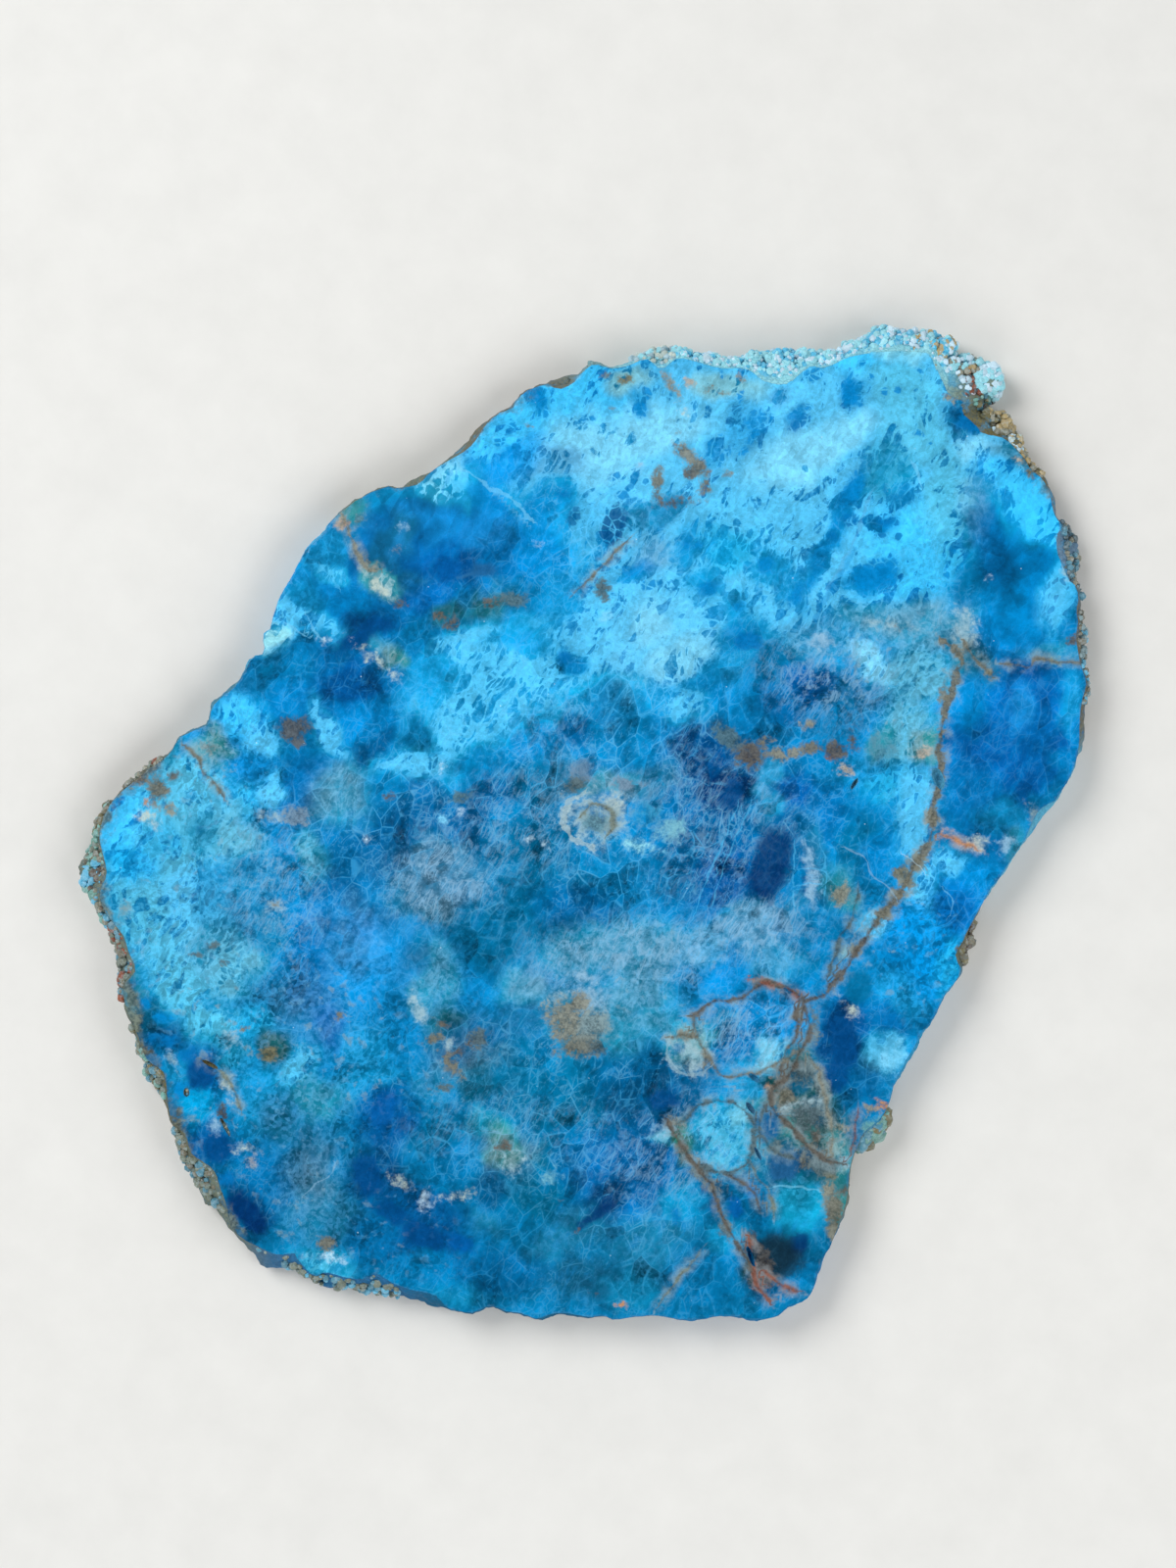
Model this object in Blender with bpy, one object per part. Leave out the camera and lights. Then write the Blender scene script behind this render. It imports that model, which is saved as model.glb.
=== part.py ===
# Blue apatite slab: one natural piece, sawn flat on both faces and polished on the front.
# It lies on its sawn back face with the polished face up. Seen from the front, +X is the slab's
# right and +Y its top. The rim is natural rough rind in places and broken or sawn in others, and
# a crust of small crystals grows on the top right corner.

import math

import bmesh
import bpy
from mathutils import Vector, noise

MILLIMETRE = 0.001

# Driving sizes, in millimetres. The outline below is at real size too: 172 mm wide, 169 mm high.
THICKNESS = 6.5
BOX_CENTRE = (-0.09, -0.17)
SECTION_SPACING = 1.24
EDGE_INSET = 0.35
NORMAL_REACH = 6
BLEND_REACH = 3
CURVE_SAMPLES = 14

# Each section of the rim runs from the front edge down to the widest line, and on to the back
# edge. These are the places on the way, from 0 at one line to 1 at the next.
SHOULDER_STEPS = (0.30, 0.58, 0.82)
SHOULDER_OUT = 0.80
SHOULDER_DOWN = 1.35
UNDERSIDE_STEPS = (0.55, 1.0)
UNDERSIDE_CURVE = 1.5

# The rim's lumps: their spacing, the share of the finer ones, how far they raise a sloping rind,
# and the drift of the widest line. Nothing on the rim reaches the plane of the polished face.
LUMP_SPACING = 3.4
GRAIN_SPACING = 1.3
GRAIN_SHARE = 0.45
SLOPE_LIFT = 2.0
INSET_SEED = 5.0
UNDERSIDE_SEED = -4.0
LEVEL_SPACING = 11.0
LEVEL_DRIFT = 0.9
FACE_CLEARANCE = 0.08

# The rim, anticlockwise seen from the front. "outer" is the silhouette and "front" the edge of the
# polished face; a stretch without a front edge shows no rind, and its face stops EDGE_INSET short.
# "widest" is the height of the silhouette line, "under" how far the back edge lies inside it, and
# "rough" the size of the lumps.
RIM = [
    {
        "name": "left rind",
        "outer": [(-76.5, 7.3), (-78.7, 5.5), (-80.5, 3.6), (-82.1, 0.4), (-83.3, -2.1), (-83.5, -4.5),
                  (-86.0, -6.6), (-86.2, -8.0), (-85.8, -9.5), (-84.6, -11.2), (-83.3, -12.0),
                  (-82.5, -14.8), (-81.4, -16.6), (-80.0, -19.7), (-78.8, -25.0), (-78.4, -30.0),
                  (-77.7, -32.6), (-76.4, -36.4), (-74.7, -40.5), (-73.8, -43.8), (-72.5, -44.5),
                  (-71.3, -48.8), (-69.7, -52.5), (-68.5, -57.0), (-66.8, -60.0), (-64.6, -65.4)],
        "front": [(-76.3, 7.0), (-78.4, 5.3), (-80.1, 3.4), (-81.6, 0.3), (-82.0, -3.0), (-80.7, -8.5),
                  (-82.0, -12.2), (-80.8, -15.5), (-77.9, -19.2), (-77.0, -22.0), (-75.8, -25.0),
                  (-77.6, -27.2), (-77.9, -30.0), (-76.5, -34.0), (-75.4, -36.4), (-74.0, -40.2),
                  (-71.0, -42.5), (-70.5, -47.0), (-69.7, -50.8), (-67.3, -53.2), (-66.3, -56.2),
                  (-62.6, -58.9), (-61.0, -63.0), (-60.3, -65.0)],
        "widest": 2.2, "under": 0.7, "rough": 0.30,
    },
    {
        "name": "lower left rind",
        "outer": [(-64.6, -65.4), (-62.9, -65.4), (-62.1, -67.1), (-59.7, -69.9), (-57.6, -72.4),
                  (-56.2, -73.5), (-54.6, -76.2), (-51.5, -76.3), (-50.1, -75.3), (-48.0, -76.5),
                  (-45.6, -78.3), (-45.0, -79.3), (-43.5, -79.7), (-40.0, -79.2), (-37.0, -80.3),
                  (-32.0, -80.5), (-29.9, -81.4), (-27.5, -81.8), (-26.0, -82.7), (-22.3, -83.0)],
        "front": [(-60.3, -65.2), (-60.0, -67.0), (-59.3, -69.2), (-57.3, -70.9), (-55.0, -72.0),
                  (-52.7, -73.1), (-50.5, -73.3), (-48.9, -72.9), (-48.0, -74.5), (-45.5, -77.0),
                  (-43.5, -76.3), (-40.0, -77.2), (-37.0, -77.5), (-35.0, -76.5), (-32.0, -78.2),
                  (-29.0, -79.3), (-25.0, -80.2), (-23.5, -81.8), (-22.3, -82.7)],
        "widest": 1.9, "under": 0.5, "rough": 0.34,
    },
    {
        "name": "bottom edge",
        "outer": [(-22.3, -83.0), (-19.0, -83.7), (-15.9, -82.5), (-13.0, -83.3), (-10.0, -83.8),
                  (-7.5, -84.6), (-4.0, -83.7), (1.7, -84.4), (3.5, -84.0), (5.2, -84.6), (9.6, -84.1),
                  (13.0, -84.0), (18.5, -84.9), (23.0, -84.2), (27.0, -84.3), (29.5, -84.9),
                  (33.5, -84.0), (34.8, -82.7), (37.6, -81.6), (38.9, -80.4), (40.2, -77.1),
                  (41.3, -73.9), (43.4, -70.0), (44.7, -66.6), (45.4, -64.5), (45.6, -61.5),
                  (45.9, -58.8), (46.5, -56.4)],
        "front": None,
        "widest": 4.2, "under": 0.9, "rough": 0.18,
    },
    {
        "name": "green chip",
        "outer": [(46.5, -56.4), (47.4, -55.1), (48.6, -54.3), (49.5, -54.4), (49.9, -53.7),
                  (51.2, -52.0), (51.4, -50.5), (51.6, -49.4)],
        "front": [(46.2, -56.2), (47.0, -54.7), (47.4, -53.2), (48.6, -51.8), (50.0, -50.8),
                  (51.1, -49.7)],
        "widest": 2.4, "under": 0.6, "rough": 0.16,
    },
    {
        "name": "lower right edge",
        "outer": [(51.6, -49.4), (52.3, -47.5), (52.8, -45.6), (53.6, -43.9), (54.7, -42.2),
                  (55.5, -40.5), (57.3, -37.5), (57.9, -36.0), (59.4, -34.0), (61.0, -31.3),
                  (62.4, -28.7), (64.3, -26.3), (64.8, -25.0)],
        "front": None,
        "widest": 4.6, "under": 1.0, "rough": 0.16,
    },
    {
        "name": "brown knob",
        "outer": [(64.8, -25.0), (64.9, -23.6), (65.1, -22.0), (65.7, -21.0), (66.4, -20.1),
                  (66.2, -19.5), (65.7, -19.0)],
        "front": [(64.4, -24.8), (63.8, -23.7), (63.3, -22.9), (63.9, -21.3), (64.6, -20.2),
                  (65.3, -18.9)],
        "widest": 3.0, "under": 0.5, "rough": 0.20,
    },
    {
        "name": "right edge above the knob",
        "outer": [(65.7, -19.0), (66.7, -16.9), (68.0, -14.3), (69.7, -11.2), (71.0, -9.7),
                  (72.9, -6.9), (74.7, -4.1), (75.8, -3.1)],
        "front": None,
        "widest": 4.4, "under": 0.9, "rough": 0.15,
    },
    {
        "name": "tan strip",
        "outer": [(75.8, -3.1), (77.1, -1.4), (77.9, 0.0), (79.8, 2.2), (80.9, 3.6)],
        "front": [(75.3, -2.8), (76.0, -1.0), (76.6, 0.6), (77.8, 2.4), (79.2, 3.3), (80.4, 3.9)],
        "widest": 2.8, "under": 0.6, "rough": 0.20,
    },
    {
        "name": "right edge",
        "outer": [(80.9, 3.6), (81.9, 5.2), (83.0, 7.0), (84.4, 10.3), (84.8, 11.9), (85.6, 12.9),
                  (85.9, 16.1), (85.9, 20.8), (86.1, 24.0), (85.9, 25.5), (85.2, 26.4), (85.3, 27.1),
                  (85.7, 29.4), (85.9, 31.0), (85.5, 34.2), (85.5, 35.7), (85.1, 37.4), (84.6, 40.3)],
        "front": [(80.5, 3.9), (81.5, 5.5), (82.6, 7.2), (83.9, 10.4), (84.3, 12.4), (84.5, 14.0),
                  (84.6, 18.0), (85.0, 20.8), (85.7, 23.5), (85.4, 25.3), (84.8, 26.7), (84.2, 29.6),
                  (83.9, 32.0), (84.3, 34.2), (84.0, 36.0), (84.4, 38.5), (83.9, 40.4)],
        "widest": 3.2, "under": 0.7, "rough": 0.20,
    },
    {
        "name": "upper right rind",
        "outer": [(84.6, 40.3), (84.0, 41.3), (83.7, 42.3), (84.2, 43.7), (84.4, 45.6), (84.8, 46.9),
                  (84.5, 48.3), (83.6, 49.4), (82.3, 51.2), (81.2, 52.0), (80.7, 53.4), (80.9, 54.9),
                  (80.7, 56.0), (79.9, 57.2), (79.7, 58.4), (79.1, 59.2), (77.8, 60.0), (76.7, 60.9)],
        "front": [(83.8, 40.5), (82.7, 41.4), (81.6, 43.7), (80.6, 45.9), (80.6, 48.8), (81.4, 50.5),
                  (80.5, 52.1), (79.9, 53.9), (79.4, 56.3), (78.4, 58.3), (77.0, 59.6), (76.1, 60.5)],
        "widest": 2.6, "under": 0.6, "rough": 0.26,
    },
    {
        "name": "golden rind",
        "outer": [(76.7, 60.9), (75.9, 61.9), (75.1, 63.6), (74.2, 66.3), (73.2, 68.4), (72.4, 69.5),
                  (70.2, 70.2), (69.7, 71.1)],
        "front": [(76.0, 60.6), (74.8, 62.5), (72.4, 65.0), (70.7, 65.7), (67.8, 66.3), (66.5, 67.9),
                  (64.8, 69.3)],
        "widest": 1.9, "under": 0.4, "rough": 0.34,
    },
    {
        "name": "crystal crust",
        "outer": [(69.7, 71.1), (69.9, 72.4), (71.1, 73.7), (71.4, 75.4), (71.1, 76.5), (69.1, 78.0),
                  (67.9, 78.8), (65.7, 79.6), (63.7, 80.0), (63.3, 81.2), (61.7, 82.8), (60.3, 83.2),
                  (59.5, 83.7), (55.7, 83.9), (53.3, 84.0), (51.4, 84.6), (50.2, 84.2), (49.1, 83.2),
                  (47.1, 82.0), (45.5, 82.0), (44.7, 80.8)],
        "front": [(64.8, 69.4), (64.0, 71.0), (62.0, 72.7), (60.1, 76.8), (59.3, 78.9), (57.5, 79.9),
                  (52.0, 80.0), (47.4, 79.5), (44.6, 79.0)],
        "widest": 2.4, "under": 0.5, "rough": 0.42,
    },
    {
        "name": "top crust",
        "outer": [(44.7, 80.8), (42.8, 80.3), (40.1, 80.1), (39.6, 80.6), (37.9, 80.6), (37.2, 80.1),
                  (35.9, 80.1), (35.0, 80.6), (33.4, 80.1), (32.5, 80.7), (31.3, 80.1), (28.0, 80.0),
                  (27.3, 79.0), (25.9, 79.4), (24.5, 79.0), (21.6, 80.0), (20.6, 80.0), (20.3, 79.3),
                  (19.0, 80.0), (16.8, 80.6), (14.4, 80.7), (12.3, 80.9), (12.2, 80.1), (10.0, 79.8),
                  (8.7, 79.0), (5.0, 78.1), (2.1, 78.9), (0.2, 77.7), (-0.6, 76.7)],
        "front": [(44.5, 78.8), (41.5, 77.4), (39.0, 77.4), (37.4, 76.5), (35.8, 74.9), (34.2, 74.1),
                  (31.0, 74.9), (28.0, 77.1), (23.0, 77.4), (16.7, 79.0), (13.5, 77.1), (11.0, 78.9),
                  (8.0, 77.8), (5.0, 77.3), (2.0, 78.0), (-0.3, 76.3)],
        "widest": 3.0, "under": 0.5, "rough": 0.32,
    },
    {
        "name": "upper left rind",
        "outer": [(-0.6, 76.7), (-1.6, 76.7), (-3.8, 76.2), (-4.9, 75.9), (-6.0, 75.1), (-7.5, 74.9),
                  (-8.3, 74.3), (-10.3, 73.3), (-11.1, 72.2), (-12.4, 71.2), (-14.5, 70.1),
                  (-15.6, 69.0), (-17.2, 68.2), (-18.5, 66.8), (-20.5, 64.4), (-22.9, 62.3),
                  (-25.2, 60.2), (-26.3, 59.6), (-27.7, 59.5), (-28.8, 59.1), (-30.5, 57.5),
                  (-31.9, 57.3)],
        "front": [(-0.6, 76.0), (-1.6, 74.7), (-4.0, 73.7), (-5.7, 74.6), (-8.0, 74.1), (-9.8, 73.3),
                  (-10.9, 72.0), (-11.9, 70.5), (-14.2, 69.7), (-16.4, 67.7), (-17.2, 66.3),
                  (-19.3, 63.7), (-22.6, 61.7), (-25.4, 60.0), (-26.6, 58.9), (-27.3, 58.0),
                  (-28.7, 57.3), (-31.8, 57.0)],
        "widest": 2.3, "under": 0.6, "rough": 0.26,
    },
    {
        "name": "left upper edge",
        "outer": [(-31.9, 57.3), (-33.0, 57.6), (-36.0, 56.6), (-37.6, 55.6), (-38.9, 55.0),
                  (-41.4, 52.9), (-43.7, 50.8), (-44.0, 49.9), (-46.2, 47.8), (-47.2, 46.7),
                  (-48.1, 44.8), (-50.0, 41.4), (-51.6, 38.7), (-52.6, 35.7), (-53.2, 33.1),
                  (-54.1, 32.3), (-54.5, 31.4), (-54.2, 29.8), (-54.5, 28.9), (-56.6, 28.2),
                  (-58.0, 25.5), (-59.8, 23.2), (-62.3, 21.2), (-63.3, 20.0), (-63.8, 17.5),
                  (-64.7, 16.7), (-67.4, 15.6), (-68.7, 14.8), (-70.0, 12.5), (-72.2, 10.6),
                  (-74.4, 8.9), (-76.5, 7.3)],
        "front": None,
        "widest": 4.0, "under": 0.8, "rough": 0.18,
    },
]

# Knobs of grown-together crystals on the crust: (x, y, radius). KNOB_DEPTHS, taken in turn, are how
# far their centres lie below the polished face, in radii.
CRYSTAL_KNOBS = [
    (69.6, 75.4, 2.0), (68.0, 77.1, 1.5), (65.6, 78.0, 1.6), (62.2, 81.0, 1.6), (60.8, 79.3, 1.4),
    (58.8, 82.2, 1.5), (56.3, 82.4, 1.4), (53.8, 82.4, 1.5), (51.5, 83.0, 1.5), (49.2, 81.4, 1.3),
    (46.3, 80.8, 1.1), (66.8, 74.6, 1.6), (65.9, 72.0, 1.4), (69.2, 69.2, 1.2), (71.6, 68.7, 1.3),
    (73.8, 64.8, 1.0), (63.2, 77.6, 1.5), (71.0, 66.8, 1.1), (68.0, 68.0, 1.1), (63.9, 74.6, 1.2),
    (41.9, 79.2, 1.0), (38.6, 79.2, 1.1), (35.0, 79.1, 1.2), (32.3, 79.2, 1.2), (33.6, 76.4, 1.2),
    (29.2, 78.7, 1.0), (25.7, 78.3, 0.9), (21.4, 78.9, 1.0), (16.5, 79.5, 0.9), (13.3, 79.3, 1.2),
    (1.7, 77.8, 0.8), (-2.9, 75.1, 0.9), (-85.0, -8.2, 0.9), (-81.6, -14.2, 1.0),
]
KNOB_DEPTHS = (1.12, 1.45, 1.85, 1.3, 1.65)
KNOB_SHAPE = 0.42
KNOB_NOISE = 1.5
KNOB_FLOOR = 0.3

# Small open pits and slits in the polished face: (x, y, half width, half length, turn, depth), the
# turn in degrees anticlockwise from +Y.
PITS = [
    (60.6, 7.6, 1.0, 2.1, 20, 1.5),
    (28.7, -73.7, 0.45, 2.0, 19, 1.2),
    (-63.3, -41.0, 0.40, 1.7, 64, 0.9),
    (-67.3, -45.8, 0.55, 0.8, 0, 0.8),
    (-60.7, -51.6, 0.35, 1.9, 27, 0.9),
    (46.3, 6.7, 0.40, 1.2, -30, 0.8),
    (29.3, -43.3, 0.50, 1.3, 50, 0.9),
    (28.6, -48.4, 0.50, 1.3, 35, 0.9),
    (29.9, -56.2, 0.35, 1.4, 28, 0.8),
]
PIT_LIFT = 0.35
PIT_SHAPE = 0.18
PIT_NOISE = 2.3

APATITE_BLUE = (0.012, 0.215, 0.565, 1.0)
POLISH_ROUGHNESS = 0.28


def clear_scene():
    for item in list(bpy.data.objects):
        bpy.data.objects.remove(item, do_unlink=True)


def smooth_curve(points, parameter):
    # A Catmull-Rom curve through the points, at a parameter that counts them from 0.
    last = len(points) - 1
    start = min(int(parameter), last - 1)
    share = parameter - start
    near = [Vector(points[max(0, min(last, start + step))]) for step in (-1, 0, 1, 2)]
    before, here, ahead, beyond = near
    linear = (ahead - before) * 0.5
    squared = before - here * 2.5 + ahead * 2.0 - beyond * 0.5
    cubed = (beyond - before) * 0.5 + (here - ahead) * 1.5
    return here + linear * share + squared * share ** 2 + cubed * share ** 3


def even_points(points, count):
    # That many places along the curve at equal distances, the last point left out.
    steps = (len(points) - 1) * CURVE_SAMPLES
    walk = [smooth_curve(points, step / CURVE_SAMPLES) for step in range(steps + 1)]
    travelled = [0.0]
    for before, here in zip(walk, walk[1:]):
        travelled.append(travelled[-1] + (here - before).length)
    places = []
    index = 0
    for step in range(count):
        target = travelled[-1] * step / count
        while travelled[index + 1] < target:
            index += 1
        share = (target - travelled[index]) / (travelled[index + 1] - travelled[index])
        places.append(walk[index].lerp(walk[index + 1], share))
    return places


def polyline_length(points):
    return sum((Vector(ahead) - Vector(here)).length for here, ahead in zip(points, points[1:]))


def rim_sections():
    # One entry for each section round the rim: its silhouette point, its front edge and its stretch.
    sections = []
    for stretch, following in zip(RIM, RIM[1:] + RIM[:1]):
        outer = stretch["outer"]
        if outer[-1] != following["outer"][0]:
            outer = outer + [following["outer"][0]]
        count = round(polyline_length(outer) / SECTION_SPACING)
        fronts = even_points(stretch["front"], count) if stretch["front"] else [None] * count
        for silhouette, front in zip(even_points(outer, count), fronts):
            sections.append({"outer": silhouette, "front": front, "stretch": stretch})
    count = len(sections)
    for index, section in enumerate(sections):
        ahead = sections[(index + NORMAL_REACH) % count]["outer"]
        behind = sections[index - NORMAL_REACH]["outer"]
        along = (ahead - behind).normalized()
        section["normal"] = Vector((along.y, -along.x))
    return sections


def blended(sections, index, key):
    # A stretch's value eased into its neighbours' over a few sections.
    steps = range(-BLEND_REACH, BLEND_REACH + 1)
    return sum(sections[(index + step) % len(sections)]["stretch"][key] for step in steps) / len(steps)


def lump(place, height, spacing):
    return noise.noise(Vector((place.x / spacing, place.y / spacing, height / spacing)))


def section_points(sections, index):
    # The section's points from the front edge down to the back edge.
    section = sections[index]
    outer = section["outer"]
    normal = section["normal"]
    rough = blended(sections, index, "rough")
    drift = LEVEL_DRIFT * lump(outer, 0.0, LEVEL_SPACING)
    widest = blended(sections, index, "widest") + drift
    under = blended(sections, index, "under")
    front = section["front"]
    if front is None:
        front = outer - normal * EDGE_INSET * (1.0 + lump(outer, INSET_SEED, LUMP_SPACING))
    shoulder = outer - front
    lie = min(1.0, shoulder.length / THICKNESS)
    points = [(front.x, front.y, THICKNESS)]
    for step in SHOULDER_STEPS:
        place = front + shoulder * step ** SHOULDER_OUT
        height = THICKNESS - (THICKNESS - widest) * step ** SHOULDER_DOWN
        grain = lump(place, height, GRAIN_SPACING)
        swell = rough * (lump(place, height, LUMP_SPACING) + GRAIN_SHARE * grain)
        place = place + normal * swell * (1.0 - lie)
        height = min(height + swell * lie * SLOPE_LIFT, THICKNESS - FACE_CLEARANCE)
        points.append((place.x, place.y, height))
    points.append((outer.x, outer.y, widest))
    for step in UNDERSIDE_STEPS:
        height = widest * (1.0 - step)
        swell = rough * lump(outer, height + UNDERSIDE_SEED, LUMP_SPACING)
        place = outer - normal * (under * step ** UNDERSIDE_CURVE - swell)
        points.append((place.x, place.y, height))
    return points


def centred(point):
    return Vector((point[0] - BOX_CENTRE[0], point[1] - BOX_CENTRE[1], point[2]))


def apatite():
    material = bpy.data.materials.new("Apatite")
    material.use_nodes = True
    shader = material.node_tree.nodes["Principled BSDF"]
    shader.inputs["Base Color"].default_value = APATITE_BLUE
    shader.inputs["Roughness"].default_value = POLISH_ROUGHNESS
    shader.inputs["Metallic"].default_value = 0.0
    return material


def object_from(shape, name):
    # Shapes are worked in millimetres, where fine triangles stay well apart, and scaled at the end.
    bmesh.ops.scale(shape, vec=Vector((MILLIMETRE, MILLIMETRE, MILLIMETRE)), verts=shape.verts[:])
    mesh = bpy.data.meshes.new(name)
    shape.to_mesh(mesh)
    shape.free()
    made = bpy.data.objects.new(name, mesh)
    bpy.context.scene.collection.objects.link(made)
    return made


def as_cutter(made):
    made.hide_render = True
    made.display_type = "WIRE"
    return made


def sawn_slab():
    # The rim sections lofted into one body, closed by the flat front and back faces.
    sections = rim_sections()
    shape = bmesh.new()
    columns = []
    for index in range(len(sections)):
        columns.append([shape.verts.new(centred(point)) for point in section_points(sections, index)])
    for column, ahead in zip(columns, columns[1:] + columns[:1]):
        for upper in range(len(column) - 1):
            lower = upper + 1
            shape.faces.new((column[upper], column[lower], ahead[lower], ahead[upper]))
    shape.faces.new([column[0] for column in columns])
    shape.faces.new([column[-1] for column in reversed(columns)])
    shape.normal_update()
    bmesh.ops.triangulate(shape, faces=shape.faces[:])
    bmesh.ops.recalc_face_normals(shape, faces=shape.faces[:])
    return object_from(shape, "slab")


def crystal_knobs():
    # Low, faceted lumps that are fused into the rim.
    shape = bmesh.new()
    for index, (x, y, radius) in enumerate(CRYSTAL_KNOBS):
        depth = KNOB_DEPTHS[index % len(KNOB_DEPTHS)] * radius
        grown = bmesh.ops.create_icosphere(shape, subdivisions=2, radius=1.0)
        for vertex in grown["verts"]:
            direction = vertex.co.copy()
            swell = 1.0 + KNOB_SHAPE * noise.noise(direction * KNOB_NOISE + Vector((index, 0.0, 0.0)))
            reach = direction * swell * radius
            height = min(THICKNESS - depth + reach.z, THICKNESS - FACE_CLEARANCE)
            vertex.co = centred((x + reach.x, y + reach.y, max(height, KNOB_FLOOR)))
    return as_cutter(object_from(shape, "crystal_knobs"))


def pit_cutters():
    # Rounded, uneven lenses that leave the open pits in the polished face.
    shape = bmesh.new()
    for index, (x, y, half_width, half_length, turn, depth) in enumerate(PITS):
        cosine = math.cos(math.radians(turn))
        sine = math.sin(math.radians(turn))
        grown = bmesh.ops.create_icosphere(shape, subdivisions=2, radius=1.0)
        for vertex in grown["verts"]:
            direction = vertex.co.copy()
            swell = 1.0 + PIT_SHAPE * noise.noise(direction * PIT_NOISE + Vector((0.0, index, 0.0)))
            across = direction.x * half_width * swell
            along = direction.y * half_length * swell
            height = THICKNESS + PIT_LIFT + direction.z * (depth + PIT_LIFT)
            turned_x = x + across * cosine - along * sine
            turned_y = y + across * sine + along * cosine
            vertex.co = centred((turned_x, turned_y, height))
    return as_cutter(object_from(shape, "pit_cutters"))


def combine(body, other, operation, overlaps_itself):
    change = body.modifiers.new(other.name, "BOOLEAN")
    change.operation = operation
    change.solver = "EXACT"
    change.use_self = overlaps_itself
    change.object = other


def build_slab():
    slab = sawn_slab()
    slab.data.materials.append(apatite())
    combine(slab, crystal_knobs(), "UNION", overlaps_itself=True)
    combine(slab, pit_cutters(), "DIFFERENCE", overlaps_itself=False)
    return slab


clear_scene()
build_slab()
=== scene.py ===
import math
import random

import bpy
import numpy as np
from mathutils import Matrix, Vector, noise
from mathutils.kdtree import KDTree


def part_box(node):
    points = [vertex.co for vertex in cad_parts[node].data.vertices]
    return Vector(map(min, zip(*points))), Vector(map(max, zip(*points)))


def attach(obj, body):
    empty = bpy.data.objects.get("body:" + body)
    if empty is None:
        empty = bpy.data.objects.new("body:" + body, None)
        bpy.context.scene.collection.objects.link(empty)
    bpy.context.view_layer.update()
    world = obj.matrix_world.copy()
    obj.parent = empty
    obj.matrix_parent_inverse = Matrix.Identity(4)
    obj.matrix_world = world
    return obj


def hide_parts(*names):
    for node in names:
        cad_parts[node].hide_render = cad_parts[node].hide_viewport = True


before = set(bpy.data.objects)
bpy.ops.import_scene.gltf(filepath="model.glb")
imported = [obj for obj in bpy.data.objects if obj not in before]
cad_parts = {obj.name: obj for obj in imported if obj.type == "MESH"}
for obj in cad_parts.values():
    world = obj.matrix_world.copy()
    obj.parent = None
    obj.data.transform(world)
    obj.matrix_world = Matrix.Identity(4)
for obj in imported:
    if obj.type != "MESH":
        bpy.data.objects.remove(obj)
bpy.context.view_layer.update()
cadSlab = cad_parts["slab"]
print("slab scene: frame loaded")

mm = 0.001
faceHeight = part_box("slab")[1].z / mm  # top of the polished face
readShift = (0.09, 0.17)  # the places below were read from another zero point


def paint(red, green, blue):
    # screen colour to the renderer's linear one
    levels = []
    for level in (red, green, blue):
        share = level / 255
        levels.append(share / 12.92 if share < 0.04045 else ((share + 0.055) / 1.055) ** 2.4)
    return (*levels, 1.0)


stoneColours = {
    "base": paint(10, 124, 186),
    "skyPale": paint(118, 202, 238),
    "sky": paint(78, 184, 234),
    "skyBright": paint(52, 184, 243),
    "cyanSky": paint(76, 180, 218),
    "cyanPale": paint(88, 168, 200),
    "cyanWhite": paint(146, 216, 230),
    "cyan": paint(30, 162, 216),
    "vividCyan": paint(0, 156, 218),
    "skyAzure": paint(34, 146, 206),
    "vivid": paint(0, 142, 216),
    "azure": paint(0, 126, 194),
    "azureDeep": paint(0, 108, 174),
    "royalAzure": paint(0, 104, 180),
    "royal": paint(0, 86, 156),
    "navy": paint(0, 68, 126),
    "navyDeep": paint(0, 44, 98),
    "nightBlue": paint(16, 44, 62),
    "tealAzure": paint(4, 116, 172),
    "tealSky": paint(44, 144, 188),
    "teal": paint(0, 104, 150),
    "tealNavy": paint(0, 86, 140),
    "tealDark": paint(10, 90, 124),
    "slate": paint(44, 106, 154),
    "slateDark": paint(28, 86, 134),
    "slateSky": paint(62, 130, 182),
    "violetSky": paint(46, 136, 210),
    "lilac": paint(54, 112, 156),
    "lilacSky": paint(80, 154, 202),
    "greySky": paint(84, 148, 186),
    "greyCyan": paint(118, 180, 196),
    "greyTeal": paint(80, 134, 154),
    "greyTan": paint(122, 148, 154),
    "greyWhite": paint(136, 178, 206),
    "mauve": paint(106, 136, 162),
    "tan": paint(134, 134, 118),
    "tanDark": paint(112, 108, 90),
    "creamGrey": paint(152, 184, 196),
    "cream": paint(180, 196, 188),
    "white": paint(190, 220, 236),
    "brown": paint(88, 76, 62),
    "brownTeal": paint(66, 104, 120),
    "brownGrey": paint(76, 96, 102),
    "darkBrown": paint(58, 46, 40),
    "darkGrey": paint(78, 78, 80),
    "rust": paint(132, 66, 30),
    "orange": paint(196, 132, 72),
    "pink": paint(176, 166, 152),
    "gold": paint(168, 150, 104),
    "olive": paint(112, 106, 72),
    "oliveGrey": paint(112, 122, 108),
    "greenChip": paint(110, 160, 150),
}


cameraSetup = {
    "centre": (1.09, 6.84),
    "above": 600.0,
    "frameHeight": 266.667,
    "sensor": 36.0,
}


def addCamera():
    setup = cameraSetup
    bpy.ops.object.select_all(action="DESELECT")
    bpy.ops.object.camera_add(
        location=(setup["centre"][0] * mm, setup["centre"][1] * mm, (faceHeight + setup["above"]) * mm),
        rotation=(0, 0, 0),
    )
    camera = bpy.context.object
    camera.name = "camera"
    camera.data.sensor_fit = "VERTICAL"
    camera.data.sensor_height = setup["sensor"]
    camera.data.sensor_width = setup["sensor"]
    camera.data.lens = setup["sensor"] * setup["above"] / setup["frameHeight"]
    camera.data.clip_start = 0.01
    bpy.context.scene.camera = camera


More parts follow.
